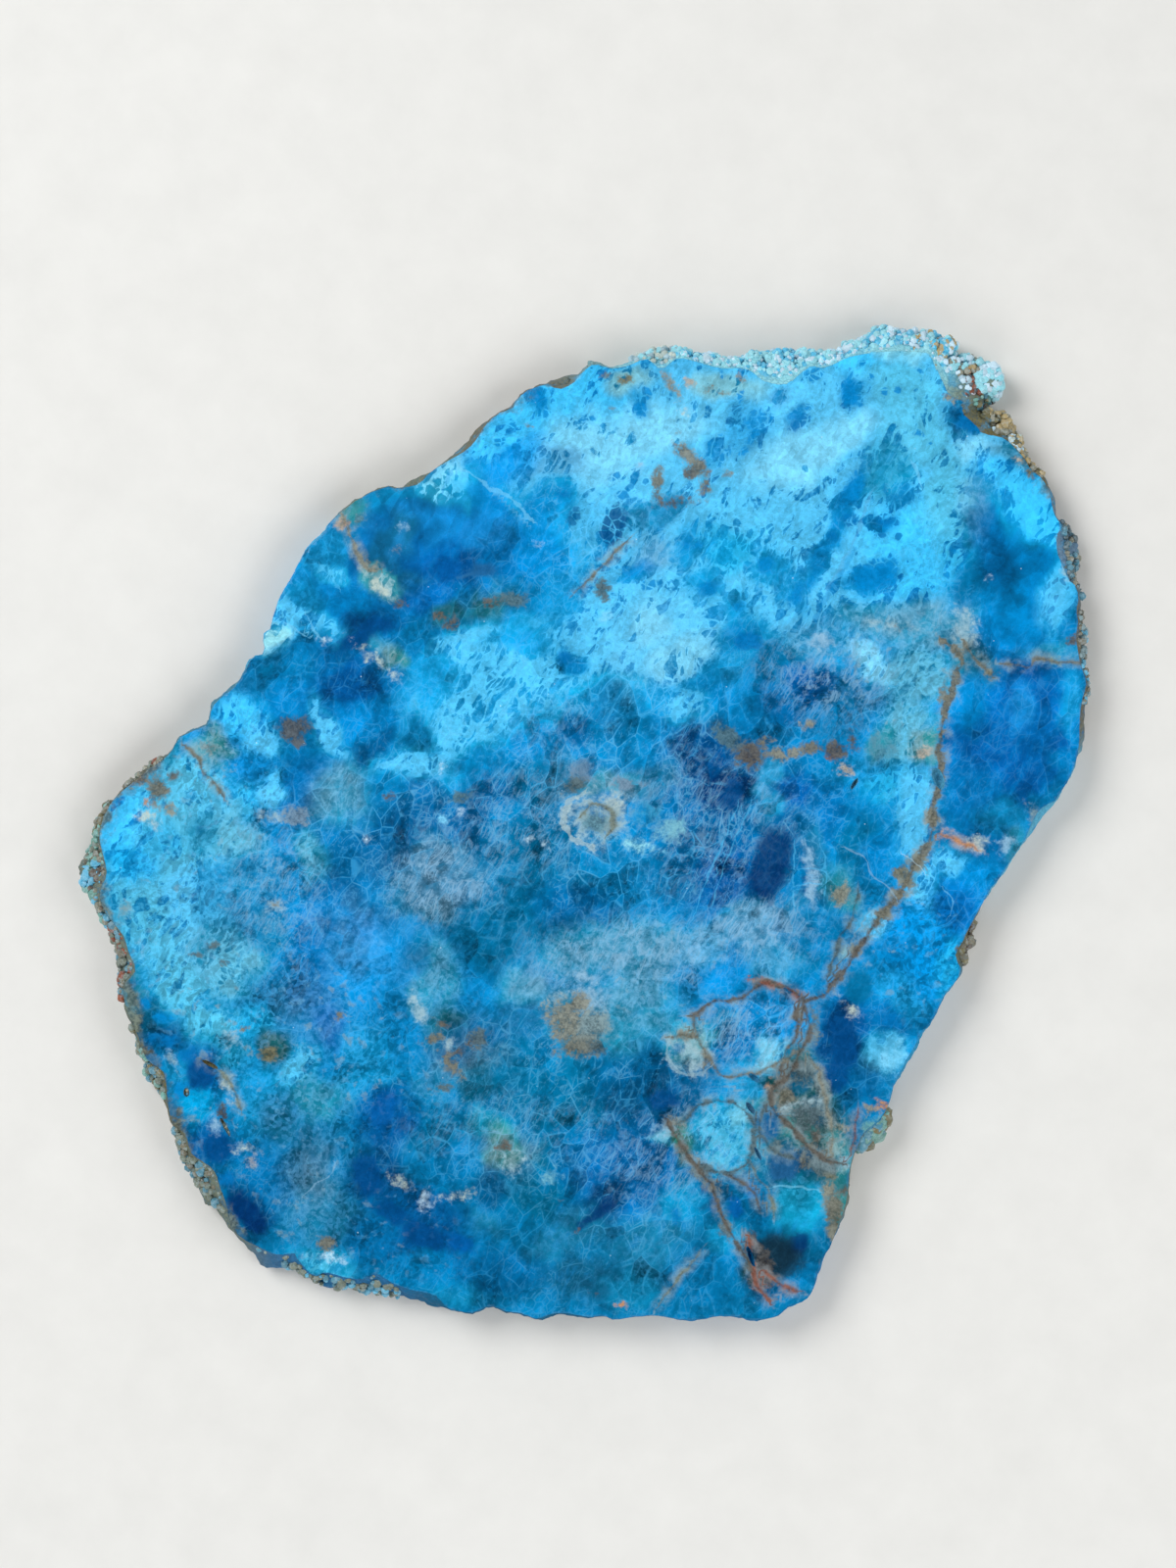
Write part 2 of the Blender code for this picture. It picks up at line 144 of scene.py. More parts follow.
lightSetup = {
    "key": {"place": (-0.62, 0.5, 0.72), "size": 0.7, "power": 8.6},
    "fill": {"place": (0.75, -0.2, 0.6), "size": 0.8, "power": 4.4},
    "front": {"place": (-0.1, -0.85, 0.55), "size": 0.8, "power": 3.8},
    "airLow": 0.62,  # pale air near the horizon
    "airHigh": 0.0,  # dim overhead, so the polished face keeps its depth
}


def addLights():
    for name in ("key", "fill", "front"):
        lamp = lightSetup[name]
        bpy.ops.object.select_all(action="DESELECT")
        bpy.ops.object.light_add(type="AREA", location=lamp["place"])
        made = bpy.context.object
        made.name = name + "Light"
        made.data.shape = "DISK"
        made.data.size = lamp["size"]
        made.data.energy = lamp["power"]
        made.rotation_euler = (-Vector(lamp["place"])).to_track_quat("-Z", "Y").to_euler()


def addAir():
    world = bpy.data.worlds.new("softAir")
    bpy.context.scene.world = world
    world.use_nodes = True
    shop = Shop(None, world.node_tree)
    aim = shop.parts(shop.add("ShaderNodeTexCoord", output="Generated"))[2]
    strength = lightSetup["airHigh"] + (lightSetup["airLow"] - lightSetup["airHigh"]) * aim.falls(0.45, 0.92)
    air = shop.add("ShaderNodeBackground", None, {"Color": (1, 1, 1, 1), "Strength": strength})
    shop.add("ShaderNodeOutputWorld", None, {"Surface": air})


class Wire:
    # one output of a node, which can be added, multiplied and so on
    def __init__(self, shop, socket):
        self.shop = shop
        self.socket = socket

    def maths(self, operation, *values):
        return self.shop.add("ShaderNodeMath", {"operation": operation}, dict(enumerate(values)))

    def __add__(self, other):
        return self.maths("ADD", self, other)

    def __radd__(self, other):
        return self.maths("ADD", other, self)

    def __sub__(self, other):
        return self.maths("SUBTRACT", self, other)

    def __rsub__(self, other):
        return self.maths("SUBTRACT", other, self)

    def __mul__(self, other):
        return self.maths("MULTIPLY", self, other)

    def __rmul__(self, other):
        return self.maths("MULTIPLY", other, self)

    def __truediv__(self, other):
        return self.maths("DIVIDE", self, other)

    def __pow__(self, other):
        return self.maths("POWER", self, other)

    def __abs__(self):
        return self.maths("ABSOLUTE", self)

    def least(self, other):
        return self.maths("MINIMUM", self, other)

    def most(self, other):
        return self.maths("MAXIMUM", self, other)

    def rises(self, low, high):
        # 0 below low, 1 above high, smooth between
        return self.shop.add(
            "ShaderNodeMapRange",
            {"interpolation_type": "SMOOTHSTEP"},
            {"Value": self, "From Min": low, "From Max": high},
        )

    def falls(self, low, high):
        return self.shop.add(
            "ShaderNodeMapRange",
            {"interpolation_type": "SMOOTHSTEP"},
            {"Value": self, "From Min": low, "From Max": high, "To Min": 1.0, "To Max": 0.0},
        )


class Shop:
    # makes the nodes of one material
    def __init__(self, name, tree=None):
        if tree is None:
            self.material = bpy.data.materials.new(name)
            self.material.use_nodes = True
            tree = self.material.node_tree
        self.tree = tree
        self.tree.nodes.clear()

    def add(self, kind, settings=None, inputs=None, output=0):
        node = self.tree.nodes.new(kind)
        for key, value in (settings or {}).items():
            setattr(node, key, value)
        for key, value in (inputs or {}).items():
            if isinstance(value, Wire):
                self.tree.links.new(value.socket, node.inputs[key])
            else:
                node.inputs[key].default_value = value
        return Wire(self, node.outputs[output]) if node.outputs else node

    def attribute(self, name, output="Vector"):
        return self.add("ShaderNodeAttribute", {"attribute_name": name}, output=output)

    def parts(self, vector):
        first = self.add("ShaderNodeSeparateXYZ", None, {0: vector})
        node = first.socket.node
        return [Wire(self, node.outputs[index]) for index in range(3)]

    def blend(self, factor, first, second, mode="MIX"):
        node = self.tree.nodes.new("ShaderNodeMix")
        node.data_type = "RGBA"
        node.blend_type = mode
        node.clamp_factor = True
        for key, value in ((0, factor), (6, first), (7, second)):
            if isinstance(value, Wire):
                self.tree.links.new(value.socket, node.inputs[key])
            else:
                node.inputs[key].default_value = value
        return Wire(self, node.outputs[2])

    def vector(self, operation, *values):
        return self.add("ShaderNodeVectorMath", {"operation": operation}, dict(enumerate(values)))

    def scaled(self, vector, factor):
        return self.add("ShaderNodeVectorMath", {"operation": "SCALE"}, {0: vector, "Scale": factor})

    def grain(self, place, size, detail=2.0, roughness=0.5, output="Fac"):
        # turned out of the axes, so that the noise's own lattice doesn't show
        slanted = self.add(
            "ShaderNodeVectorRotate",
            {"rotation_type": "EULER_XYZ"},
            {"Vector": place, "Rotation": (0.5, 0.7, 0.3)},
        )
        return self.add(
            "ShaderNodeTexNoise",
            {"noise_dimensions": "3D"},
            {"Vector": slanted, "Scale": 1.0 / size, "Detail": detail, "Roughness": roughness},
            output=output,
        )

    def grainShift(self, place, size):
        # a noise that points every way
        return self.vector("SUBTRACT", self.grain(place, size, 2.0, 0.5, "Color"), (0.5, 0.5, 0.5))

    def cells(self, place, size, feature="DISTANCE_TO_EDGE", output="Distance"):
        return self.add(
            "ShaderNodeTexVoronoi",
            {"voronoi_dimensions": "3D", "feature": feature},
            {"Vector": place, "Scale": 1.0 / size},
            output=output,
        )


floorLook = {"size": 3.0, "colour": paint(226, 226, 223), "fleck": paint(214, 214, 211), "roughness": 0.75}


def addFloor():
    bpy.ops.object.select_all(action="DESELECT")
    bpy.ops.mesh.primitive_plane_add(size=floorLook["size"], location=(0, 0, -0.00005))
    floor = bpy.context.object
    floor.name = "floor"
    shop = Shop("palePaper")
    place = shop.scaled(shop.add("ShaderNodeTexCoord", output="Object"), 1000.0)
    mottle = shop.grain(place, 9.0, 6.0, 0.6)
    colour = shop.blend(mottle, floorLook["colour"], floorLook["fleck"])
    shader = shop.add(
        "ShaderNodeBsdfPrincipled",
        None,
        {"Base Color": colour, "Roughness": floorLook["roughness"], "Specular IOR Level": 0.2},
    )
    shop.add("ShaderNodeOutputMaterial", None, {"Surface": shader})
    floor.data.materials.append(shop.material)


stoneForm = {
    "frontStep": 0.6,  # mesh step on the polished face
    "backStep": 2.2,
    "skin": 0.05,  # how far the gridded faces lie inside the solid
    "blockSize": 181.0,
    "rimCuts": 1,
    "rimRough": 0.22,  # how far the rind is roughened
    "rimGrain": 0.9,
    "smoothAngle": 35.0,
}


def selectedFaces(mesh, chosen):
    # marks faces by a list of booleans, in object mode
    mesh.vertices.foreach_set("select", np.zeros(len(mesh.vertices), bool))
    mesh.edges.foreach_set("select", np.zeros(len(mesh.edges), bool))
    mesh.polygons.foreach_set("select", chosen)


def griddedBlock(name, height, step, depth):
    count = round(stoneForm["blockSize"] / step)
    bpy.ops.object.select_all(action="DESELECT")
    bpy.ops.mesh.primitive_grid_add(
        x_subdivisions=count,
        y_subdivisions=count,
        size=stoneForm["blockSize"] * mm,
        location=(0, 0, height * mm),
    )
    block = bpy.context.object
    block.name = name
    bpy.ops.object.transform_apply(location=True, rotation=True, scale=True)
    bpy.ops.object.mode_set(mode="EDIT")
    bpy.ops.mesh.select_mode(type="EDGE")
    bpy.ops.mesh.select_all(action="DESELECT")
    bpy.ops.mesh.select_non_manifold()
    bpy.ops.mesh.extrude_region_move(TRANSFORM_OT_translate={"value": (0, 0, depth * mm)})
    bpy.ops.mesh.edge_face_add()
    bpy.ops.mesh.select_mode(type="FACE")
    bpy.ops.mesh.select_all(action="SELECT")
    bpy.ops.mesh.normals_make_consistent(inside=False)
    bpy.ops.object.mode_set(mode="OBJECT")
    return block


def keepInside(stone, block):
    bpy.ops.object.select_all(action="DESELECT")
    stone.select_set(True)
    bpy.context.view_layer.objects.active = stone
    trim = stone.modifiers.new("trim", "BOOLEAN")
    trim.operation = "INTERSECT"
    trim.solver = "MANIFOLD"
    trim.object = block
    bpy.ops.object.modifier_apply(modifier=trim.name)
    bpy.data.objects.remove(block)


def addStone():
    form = stoneForm
    stone = bpy.data.objects.new("apatiteSlab", cadSlab.data.copy())
    bpy.context.scene.collection.objects.link(stone)
    bpy.ops.object.select_all(action="DESELECT")
    stone.select_set(True)
    bpy.context.view_layer.objects.active = stone
    bpy.ops.object.mode_set(mode="EDIT")
    bpy.ops.mesh.select_all(action="SELECT")
    bpy.ops.mesh.remove_doubles(threshold=1e-7)
    bpy.ops.object.mode_set(mode="OBJECT")
    keepInside(stone, griddedBlock("frontBlock", faceHeight - form["skin"], form["frontStep"], -20))
    keepInside(stone, griddedBlock("backBlock", form["skin"], form["backStep"], 20))
    stone.data.materials.clear()
    # the rind is cut finer than the solid's faces
    mesh = stone.data
    centres = np.zeros(len(mesh.polygons) * 3)
    mesh.polygons.foreach_get("center", centres)
    heights = centres.reshape(-1, 3)[:, 2] / mm
    low = form["skin"] * 1.5
    high = faceHeight - form["skin"] * 1.5
    rim = (heights > low) & (heights < high)
    selectedFaces(mesh, rim)
    bpy.ops.object.mode_set(mode="EDIT")
    bpy.ops.mesh.select_mode(type="FACE")
    bpy.ops.mesh.subdivide(number_cuts=form["rimCuts"], smoothness=0)
    bpy.ops.object.mode_set(mode="OBJECT")
    roughenRim(stone.data)
    return stone


def roughenRim(mesh):
    form = stoneForm
    count = len(mesh.vertices)
    places = np.zeros(count * 3)
    normals = np.zeros(count * 3)
    mesh.vertices.foreach_get("co", places)
    mesh.vertices.foreach_get("normal", normals)
    places = places.reshape(-1, 3) / mm
    normals = normals.reshape(-1, 3)
    low = form["skin"] + 0.02
    high = faceHeight - form["skin"] - 0.02
    for index in np.nonzero((places[:, 2] > low) & (places[:, 2] < high))[0]:
        x, y, z = places[index]
        fade = min(1.0, (high - z) / 0.8) * min(1.0, (z - low) / 0.8)
        coarse = noise.noise(Vector((x, y, z)) / (form["rimGrain"] * 2.2))
        fine = noise.noise(Vector((x + 40, y, z)) / form["rimGrain"])
        places[index] += normals[index] * (coarse * 0.7 + fine * 0.5) * 2 * form["rimRough"] * fade
    places[:, 2] = np.clip(places[:, 2], form["skin"], faceHeight - form["skin"])
    mesh.vertices.foreach_set("co", (places * mm).ravel())
    mesh.update()


# What lies where in the stone. Every row starts with a place x, y in millimetres, and most go on with the half length, half width
# and turn in degrees of an oval.

stoneMap = {
    # soft colour of the stone: ..., colour
    "ground": [
        # top
        (25, 66, 60, 16, 8, "sky"),
        (40, 48, 24, 16, 40, "sky"),
        (10, 36, 20, 12, 45, "sky"),
        (-2, 72, 12, 6, 15, "skyBright"),
        (3, 64, 9, 6, 0, "skyPale"),
        (-4, 61, 5, 3, 0, "lilacSky"),
        (-12, 63, 6, 5, 40, "vivid"),
        (-17, 65, 4, 3, 30, "skyBright"),
        (-7.5, 72.5, 2, 2.6, 0, "azure"),
        (-11, 69, 3, 2, 30, "skyBright"),
        (14, 68, 7, 4, 0, "skyPale"),
        (8, 75, 4, 2, 0, "greyCyan"),
        (25, 74, 6, 2.4, 0, "greyCyan"),
        (10.5, 72, 1.6, 2.2, 0, "skyAzure"),
        (28, 67, 3.4, 4, -30, "skyAzure"),
        (36.5, 68, 1.8, 3, -45, "azure"),
        (46, 73, 2.2, 3.2, 0, "azure"),
        (47, 79, 5, 3, 0, "skyBright"),
        (55, 74, 7, 6, 0, "cyanSky"),
        (56, 66, 6, 4, 0, "cyanSky"),
        (40, 73, 4, 3, 0, "sky"),
        (36, 61, 8, 5, 30, "skyPale"),
        (44, 65, 6, 3, 20, "skyPale"),
        (53, 83, 9, 3, 0, "cyanWhite"),
        (33.5, 72.5, 1.4, 1.8, 0, "slateSky"),
        (23, 62, 2, 3.4, -20, "skyAzure"),
        # right of the middle
        (57, 46, 9, 11, 0, "skyBright"),
        (27, 53, 8, 6, 0, "sky"),
        (24, 47, 5, 3, 0, "cyan"),
        (17, 47, 2.2, 4, -30, "skyAzure"),
        (20, 41, 4.4, 3, 10, "skyAzure"),
        (33, 44, 4, 3, 0, "skyAzure"),
        (27, 37, 2.8, 3, 0, "skyAzure"),
        (36, 39.5, 2, 3, -40, "skyAzure"),
        (49.5, 42.4, 4.4, 2.8, 15, "azure"),
        (46, 55.5, 2.4, 5.4, -25, "azure"),
        (51.5, 51.6, 2.6, 1.4, 8, "azure"),
        (52, 60, 4.5, 4.5, 0, "tealSky"),
        (55.5, 55.6, 3, 1.8, 0, "skyAzure"),
        (42, 45, 1.6, 9, -30, "azure"),
        (62, 46, 2, 1.6, 0, "cyan"),
        (12, 53, 5, 2.4, 10, "slateSky"),
        (11, 46, 4, 4, 30, "lilacSky"),
        (9, 42, 3.6, 2, 0, "azure"),
        (14, 34, 7, 6, 40, "sky"),
        (12, 33, 3, 3, 40, "skyPale"),
        (17, 27.5, 7, 3.4, 30, "skyPale"),
        (28, 31.5, 4, 3, 10, "tealAzure"),
        (34, 26, 5, 5, 0, "tealAzure"),
        (38, 24, 4, 3.4, 0, "royal"),
        (34, 20, 4, 3, 0, "azureDeep"),
        (40, 32, 6, 3, 0, "lilacSky"),
        (53, 35, 8, 3.4, 0, "greySky"),
        (50, 27, 5, 3, -40, "skyPale"),
        (48, 21, 7, 3.2, -10, "slate"),
        (57, 25, 4.6, 6, 0, "cyanPale"),
        (60, 33, 4, 3, 0, "greySky"),
        (65, 32, 4, 5, 0, "greySky"),
        (67, 26, 4.5, 2.6, 0, "greyTeal"),
        # right edge
        (64.5, 69, 3.4, 3, -35, "azureDeep"),
        (67, 64.5, 4, 3, 0, "skyPale"),
        (72.5, 62.5, 3, 2, -45, "greySky"),
        (70.5, 58, 3.4, 5, 35, "skyBright"),
        (75.5, 53, 4, 5, 0, "skyBright"),
        (79, 57, 2.4, 4, 15, "skyBright"),
        (67, 53, 3.4, 6, 15, "slateSky"),
        (62, 56, 4, 9, 0, "cyanSky"),
        (71, 45, 4, 7, 10, "azureDeep"),
        (66, 40, 3.4, 5, 0, "tealAzure"),
        (76.5, 44, 3.4, 7, 0, "azure"),
        (79, 50, 3, 3, 0, "skyBright"),
        (81.4, 39, 3, 7, 0, "skyBright"),
        (74, 36, 5, 5, 0, "vivid"),
        (71, 32, 4, 3, 0, "azure"),
        (80, 28.6, 5, 1.6, 0, "greySky"),
        (74, 12, 11, 16, 0, "royalAzure"),
        (69, 14, 5, 5, 0, "royal"),
        (77, 23, 5, 3.6, 0, "royal"),
        (74.5, 19, 1.8, 4.4, 0, "violetSky"),
        (74, 9, 5, 5, 0, "royal"),
        (83.5, 11, 3, 7, 0, "azure"),
        (81.6, 14, 1.6, 1.6, 0, "royal"),
        (83.6, 21, 2.2, 5, 0, "skyAzure"),
        (66, 20, 3, 5, 0, "azure"),
        (67, 4, 4, 5, 0, "azureDeep"),
        (72, 1, 5, 3, 0, "skyAzure"),
        (79, 4, 4, 3, 30, "tealAzure"),
        # upper left lobe
        (-28, 48, 18, 11, 22, "royalAzure"),
        (-32, 55, 6, 3, 15, "skyAzure"),
        (-24, 57.5, 3, 4.4, -30, "skyPale"),
        (-20, 55.5, 3.2, 3, 0, "sky"),
        (-15, 53.5, 5, 3, -35, "azure"),
        (-16, 48.5, 5, 4, 0, "violetSky"),
        (-5, 54, 5, 3.4, 0, "tealAzure"),
        (-29, 52, 3, 2.4, 0, "violetSky"),
        (-23.6, 50.6, 4.4, 3, 20, "violetSky"),
        (-31, 49, 2, 2.6, 0, "lilac"),
        (-24, 43, 4.4, 4, 0, "royal"),
        (-18, 43, 4.4, 3, 0, "navy"),
        (-34, 46, 4.4, 4.4, 30, "slate"),
        (-30, 40, 4, 3, 0, "slate"),
        (-27, 38.4, 4, 2.4, 0, "royalAzure"),
        (-12, 43, 4.6, 6, 0, "azureDeep"),
        (-7, 46, 5, 7, 0, "azure"),
        (-4, 39, 4, 5, 0, "skyAzure"),
        (-39, 52.5, 3, 2.6, 0, "greyTan"),
        (-44, 46.5, 5, 3.4, 40, "skyAzure"),
        (-41, 38, 7, 5.4, 0, "azure"),
        (-43, 42, 3, 1.6, -35, "sky"),
        (-47.4, 37, 3.4, 5, 0, "skyAzure"),
        (-45, 32.4, 5, 1.8, -25, "sky"),
        (-51, 35, 2.4, 4, 0, "sky"),
        (-53, 31.4, 2.2, 2.2, 0, "cyanWhite"),
        (-10, 38, 4, 3, 0, "tealAzure"),
        (-15, 37, 4.4, 2.6, 10, "brownTeal"),
        (-22.5, 35.6, 3.4, 2.2, 0, "brownTeal"),
        (-19, 33.6, 4, 2, 0, "teal"),
        (-27, 33, 3, 2.6, 0, "tealAzure"),
        (-34.6, 41, 4, 1.8, -45, "creamGrey"),
        (-36, 32.4, 4.6, 3.4, 20, "navy"),
        (-33, 31.4, 2, 1.8, 0, "azure"),
        (-40.5, 29.6, 4, 1.6, 15, "tealNavy"),
        (-33.6, 28.8, 3.4, 1.4, -15, "greySky"),
        (-32, 26.6, 1.8, 2.8, 35, "greyTan"),
        # left shoulder
        (-44, 24, 10, 6, -10, "azureDeep"),
        (-39, 23, 5, 4.4, 0, "royal"),
        (-52, 26, 6, 3.6, 20, "tealAzure"),
        (-52, 21.6, 5, 3, 45, "azure"),
        (-59, 19, 4.4, 3.4, 45, "skyBright"),
        (-49, 13, 6, 3, 0, "tealAzure"),
        (-43.4, 16, 2, 5.4, 30, "sky"),
        (-37, 17.6, 4.4, 3, 0, "azure"),
        (-56, 14, 3, 4.4, -20, "sky"),
        (-58, 9.6, 4.4, 3, 0, "azure"),
        (-47, 7, 5, 5, 0, "azureDeep"),
        (-53, 6.4, 3, 2.4, 0, "sky"),
        (-63.4, 13, 2.4, 3, 0, "greyTan"),
        (-66, 7.6, 4, 3, 0, "cyanSky"),
        (-69, 11.4, 2.2, 2.2, 0, "tealDark"),
        (-58, 4, 3.4, 2.4, 0, "cyan"),
        # left side
        (-70, -8, 12, 18, 10, "cyanSky"),
        (-79, 0, 4, 6, -20, "skyBright"),
        (-76.4, -7, 4.4, 3.4, 0, "vividCyan"),
        (-72, -2, 3, 3, 0, "cyan"),
        (-60, -3, 6, 5, 0, "cyanPale"),
        (-65.6, -1.8, 3, 3, 0, "tealSky"),
        (-63, -12, 5, 6, 0, "skyAzure"),
        (-68, -13, 3, 6, 0, "sky"),
        (-55, -8, 5, 4, 0, "tealAzure"),
        (-57, -16, 3.4, 4.4, 0, "tealAzure"),
        (-53, -18, 3, 5, 0, "teal"),
        (-46, -6, 3, 4.4, 0, "cyanPale"),
        (-40, 4, 4.6, 6, 0, "greySky"),
        (-64, -21, 3.4, 3.6, 0, "greySky"),
        (-59, -25, 5, 5, 0, "cyanPale"),
        (-68, -27, 4, 6, 0, "cyanSky"),
        (-53, -30, 6, 5, 0, "tealAzure"),
        (-76, -29, 2.4, 3.4, 0, "greyTeal"),
        (-73.6, -33, 3, 3, 0, "tealDark"),
        (-70, -37, 4, 2.4, -30, "tealNavy"),
        (-63, -34, 5, 3.4, 0, "cyanSky"),
        (-62, -39, 5, 3.4, 0, "tealSky"),
        (-56, -34, 3.4, 3.4, 0, "cyan"),
        (-65, -42.6, 3.6, 4.2, 0, "royal"),
        (-69.4, -43, 2.2, 4, 15, "skyAzure"),
        (-66, -48, 3.4, 3, 0, "vividCyan"),
        (-54, -45, 5, 5.4, 0, "skyAzure"),
        (-48, -42, 3.4, 3.4, 0, "sky"),
        (-53.4, -38.6, 2.4, 2.2, 0, "brownGrey"),
        # middle left
        (-22, 18, 10, 8, 50, "sky"),
        (-12, 25, 9, 7, 55, "sky"),
        (-20, 30, 7, 3, 30, "sky"),
        (-11, 31, 6, 2, 0, "skyAzure"),
        (-25, 23.6, 4, 5, -30, "skyAzure"),
        (-36, 12, 2.4, 4.4, -30, "tealNavy"),
        (-29, 14, 3.4, 4.4, -30, "tealAzure"),
        (-30, 9, 6, 2.8, 10, "sky"),
        (-17, 10, 6, 3, 0, "tealAzure"),
        (-33, 4.6, 5, 3.2, 0, "tealAzure"),
        (-7, 6, 5, 4, 0, "teal"),
        (-3.4, 23, 4, 6, -20, "sky"),
        (-2.6, 28, 2.2, 2.2, 0, "azure"),
        (4, 19, 8, 6, 0, "tealAzure"),
        (6, 13.6, 5, 4, 0, "tealAzure"),
        (13, 21.6, 4, 3, 0, "skyAzure"),
        (17.6, 18.6, 4, 3.4, 0, "sky"),
        (-2, 15.6, 2.6, 2.4, 0, "tealNavy"),
        # dark heart of the stone
        (-27, -2, 16, 7, 10, "tealNavy"),
        (-16, 3.6, 6, 3.6, 0, "tealNavy"),
        (-12, 1, 3, 3, 0, "tealAzure"),
        (-5, -10, 14, 12, 20, "teal"),
        (0, -14, 9, 4, 0, "tealNavy"),
        (-15, -19, 7, 6, 0, "teal"),
        (3, -6, 6, 3, 0, "tealAzure"),
        (14, -9, 9, 7, 0, "tealAzure"),
        (26, 0, 12, 16, -25, "tealNavy"),
        (19, 11, 6, 5, 40, "navy"),
        (25, 6, 4.4, 4, 0, "navyDeep"),
        (12, 7.4, 6, 3, 0, "lilac"),
        (4, 7, 6, 2.4, 0, "mauve"),
        (-2.4, 10, 3, 2.4, 0, "lilac"),
        (32, 7, 2, 6, -12, "lilacSky"),
        (36, 6, 4, 3, 0, "royal"),
        (42, 1, 4, 5, 0, "azureDeep"),
        (24, -10, 4, 7, -20, "royal"),
        (39.5, -6, 2, 6, 5, "lilac"),
        (37, -14, 2.6, 3, 0, "lilac"),
        (47.6, -4, 4, 5, 0, "teal"),
        (44.4, -11, 3.6, 3, 0, "greyTeal"),
        (51.6, -5, 3, 4, 0, "azure"),
        (50, -13, 3.4, 4, 0, "tealAzure"),
        (41, -18, 5, 5, 0, "tealAzure"),
        (37, -22.6, 3, 3, 0, "teal"),
        # beside the long vein
        (56, 14, 5, 5, 0, "cyanPale"),
        (53, 6, 5, 3.4, 0, "cyan"),
        (47, 9.4, 4, 2.6, 0, "skyAzure"),
        (44, 17, 4.6, 3, 0, "tealAzure"),
        (56, 1, 3.6, 7, 0, "sky"),
        (58, -11, 2.6, 6, 0, "sky"),
        (59.4, 11.4, 2.6, 2.8, 0, "greyTan"),
        (51, 13.6, 2.8, 2.8, 0, "greyTeal"),
        (66, -9.4, 4.4, 3.4, -40, "vivid"),
        (63, -14, 4.4, 4.4, 0, "royalAzure"),
        (62.6, -6.6, 2.6, 2, 0, "sky"),
        (73, -4, 2, 3, -40, "greySky"),
        (55, -18, 5, 5, 0, "vivid"),
        (58.6, -22, 5, 5.6, 0, "vivid"),
        (52.4, -25, 4, 5, 0, "azure"),
        (48.4, -17, 2.6, 3.4, 0, "sky"),
        (63, -24, 2, 4, -20, "cyan"),
        (48, -27, 4.4, 4, 0, "tealAzure"),
        (55, -29, 4, 3, -30, "skyAzure"),
        # clouds under the middle
        (-24, -8, 7, 5, 10, "lilac"),
        (-29, -12.6, 5, 4, 0, "lilac"),
        (-33, -6.4, 4.6, 2.4, 10, "slateDark"),
        (-35, -16, 4, 2.4, 0, "slateDark"),
        (-32, -21, 4, 4, 0, "slate"),
        (-24, -15.6, 4, 3, 0, "tealDark"),
        (-24, -26, 3, 5.6, 0, "greySky"),
        (-28, -22, 2.4, 3, 0, "teal"),
        (-42, -11, 5, 4, 0, "tealNavy"),
        (-40, -22, 9, 9, 10, "azure"),
        (-45.4, -18, 3, 4.4, 0, "azureDeep"),
        (-37.6, -24, 5, 5.4, 10, "vivid"),
        (-38, -17.4, 3, 2.4, 0, "violetSky"),
        (-45.4, -28, 4, 6, 0, "azureDeep"),
        (-42, -35, 3.4, 3.4, 0, "royalAzure"),
        (-37, -37, 3.4, 3.4, 0, "skyAzure"),
        (-36, -44, 5, 3.4, 0, "skyAzure"),
        (6, -21, 12, 5, 0, "greySky"),
        (28, -17.6, 5, 3.4, 10, "lilacSky"),
        (20, -21.4, 4.4, 3, 0, "lilacSky"),
        (33, -23, 4, 4, 0, "lilacSky"),
        (24, -25.4, 4.4, 3, 0, "azure"),
        (10, -31, 7, 7, 0, "greySky"),
        (-10, -27, 4, 3.4, 0, "greySky"),
        (-9.6, -33.6, 4, 4, 0, "slate"),
        (0, -33.6, 6.4, 6.6, 0, "greySky"),
        (-17, -35, 4, 3.4, 0, "slate"),
        (-22.4, -35, 3.6, 3.6, -30, "brownTeal"),
        (-19, -38, 7, 4.4, 0, "slateDark"),
        (-8, -28, 3, 3, 30, "greySky"),
        (6, -37, 3, 4, 0, "greySky"),
        (-27, -30, 2, 4, 10, "greySky"),
        # lower middle
        (-12, -40, 5, 3, 0, "teal"),
        (-5, -46, 12, 6, 0, "teal"),
        (-17.4, -45, 4, 4, 0, "tealDark"),
        (12, -46, 10, 6, 0, "tealNavy"),
        (-28, -46, 6, 6, 0, "tealAzure"),
        (-25, -43, 4, 3.4, 0, "slateSky"),
        (-25, -53, 6, 5, 0, "tealAzure"),
        (-33, -50, 4.4, 6, -20, "royal"),
        (-15, -52, 4, 2.4, 0, "tealSky"),
        (-12.4, -56, 2.6, 4, 0, "greyTan"),
        (-7, -56.4, 4, 3.4, 0, "tealDark"),
        (-2, -55, 4, 3.4, 0, "azure"),
        (8, -60, 11, 9, 30, "royalAzure"),
        (3, -66, 6, 2.4, 35, "navy"),
        (-8, -63.4, 5, 4, 0, "teal"),
        (-3, -70, 8, 3, 15, "slateSky"),
        (16.6, -65, 4, 5.4, 0, "skyAzure"),
        (12, -72, 8, 5, 0, "slateSky"),
        (-1, -78, 8, 4.4, 0, "slate"),
        (9, -79, 5, 3, 0, "skyAzure"),
        (22, -77.4, 6, 5, 0, "azure"),
        (25, -71, 3, 3, 0, "skyAzure"),
        (-14, -76.6, 8, 5, 0, "azureDeep"),
        (-21, -80, 4, 3, 0, "skyAzure"),
        # lower left
        (-44, -47, 5, 4, 0, "greySky"),
        (-50, -52, 4, 6, 30, "slateSky"),
        (-46.6, -55, 4, 5, 0, "slate"),
        (-63, -55, 4.4, 4.4, 0, "royal"),
        (-54, -61, 5, 6, 0, "azureDeep"),
        (-57, -66, 3.6, 6, 38, "navy"),
        (-46, -61.4, 4, 4, 20, "lilac"),
        (-43.4, -67, 6, 5, 0, "slateSky"),
        (-43, -75, 5, 2.4, -15, "sky"),
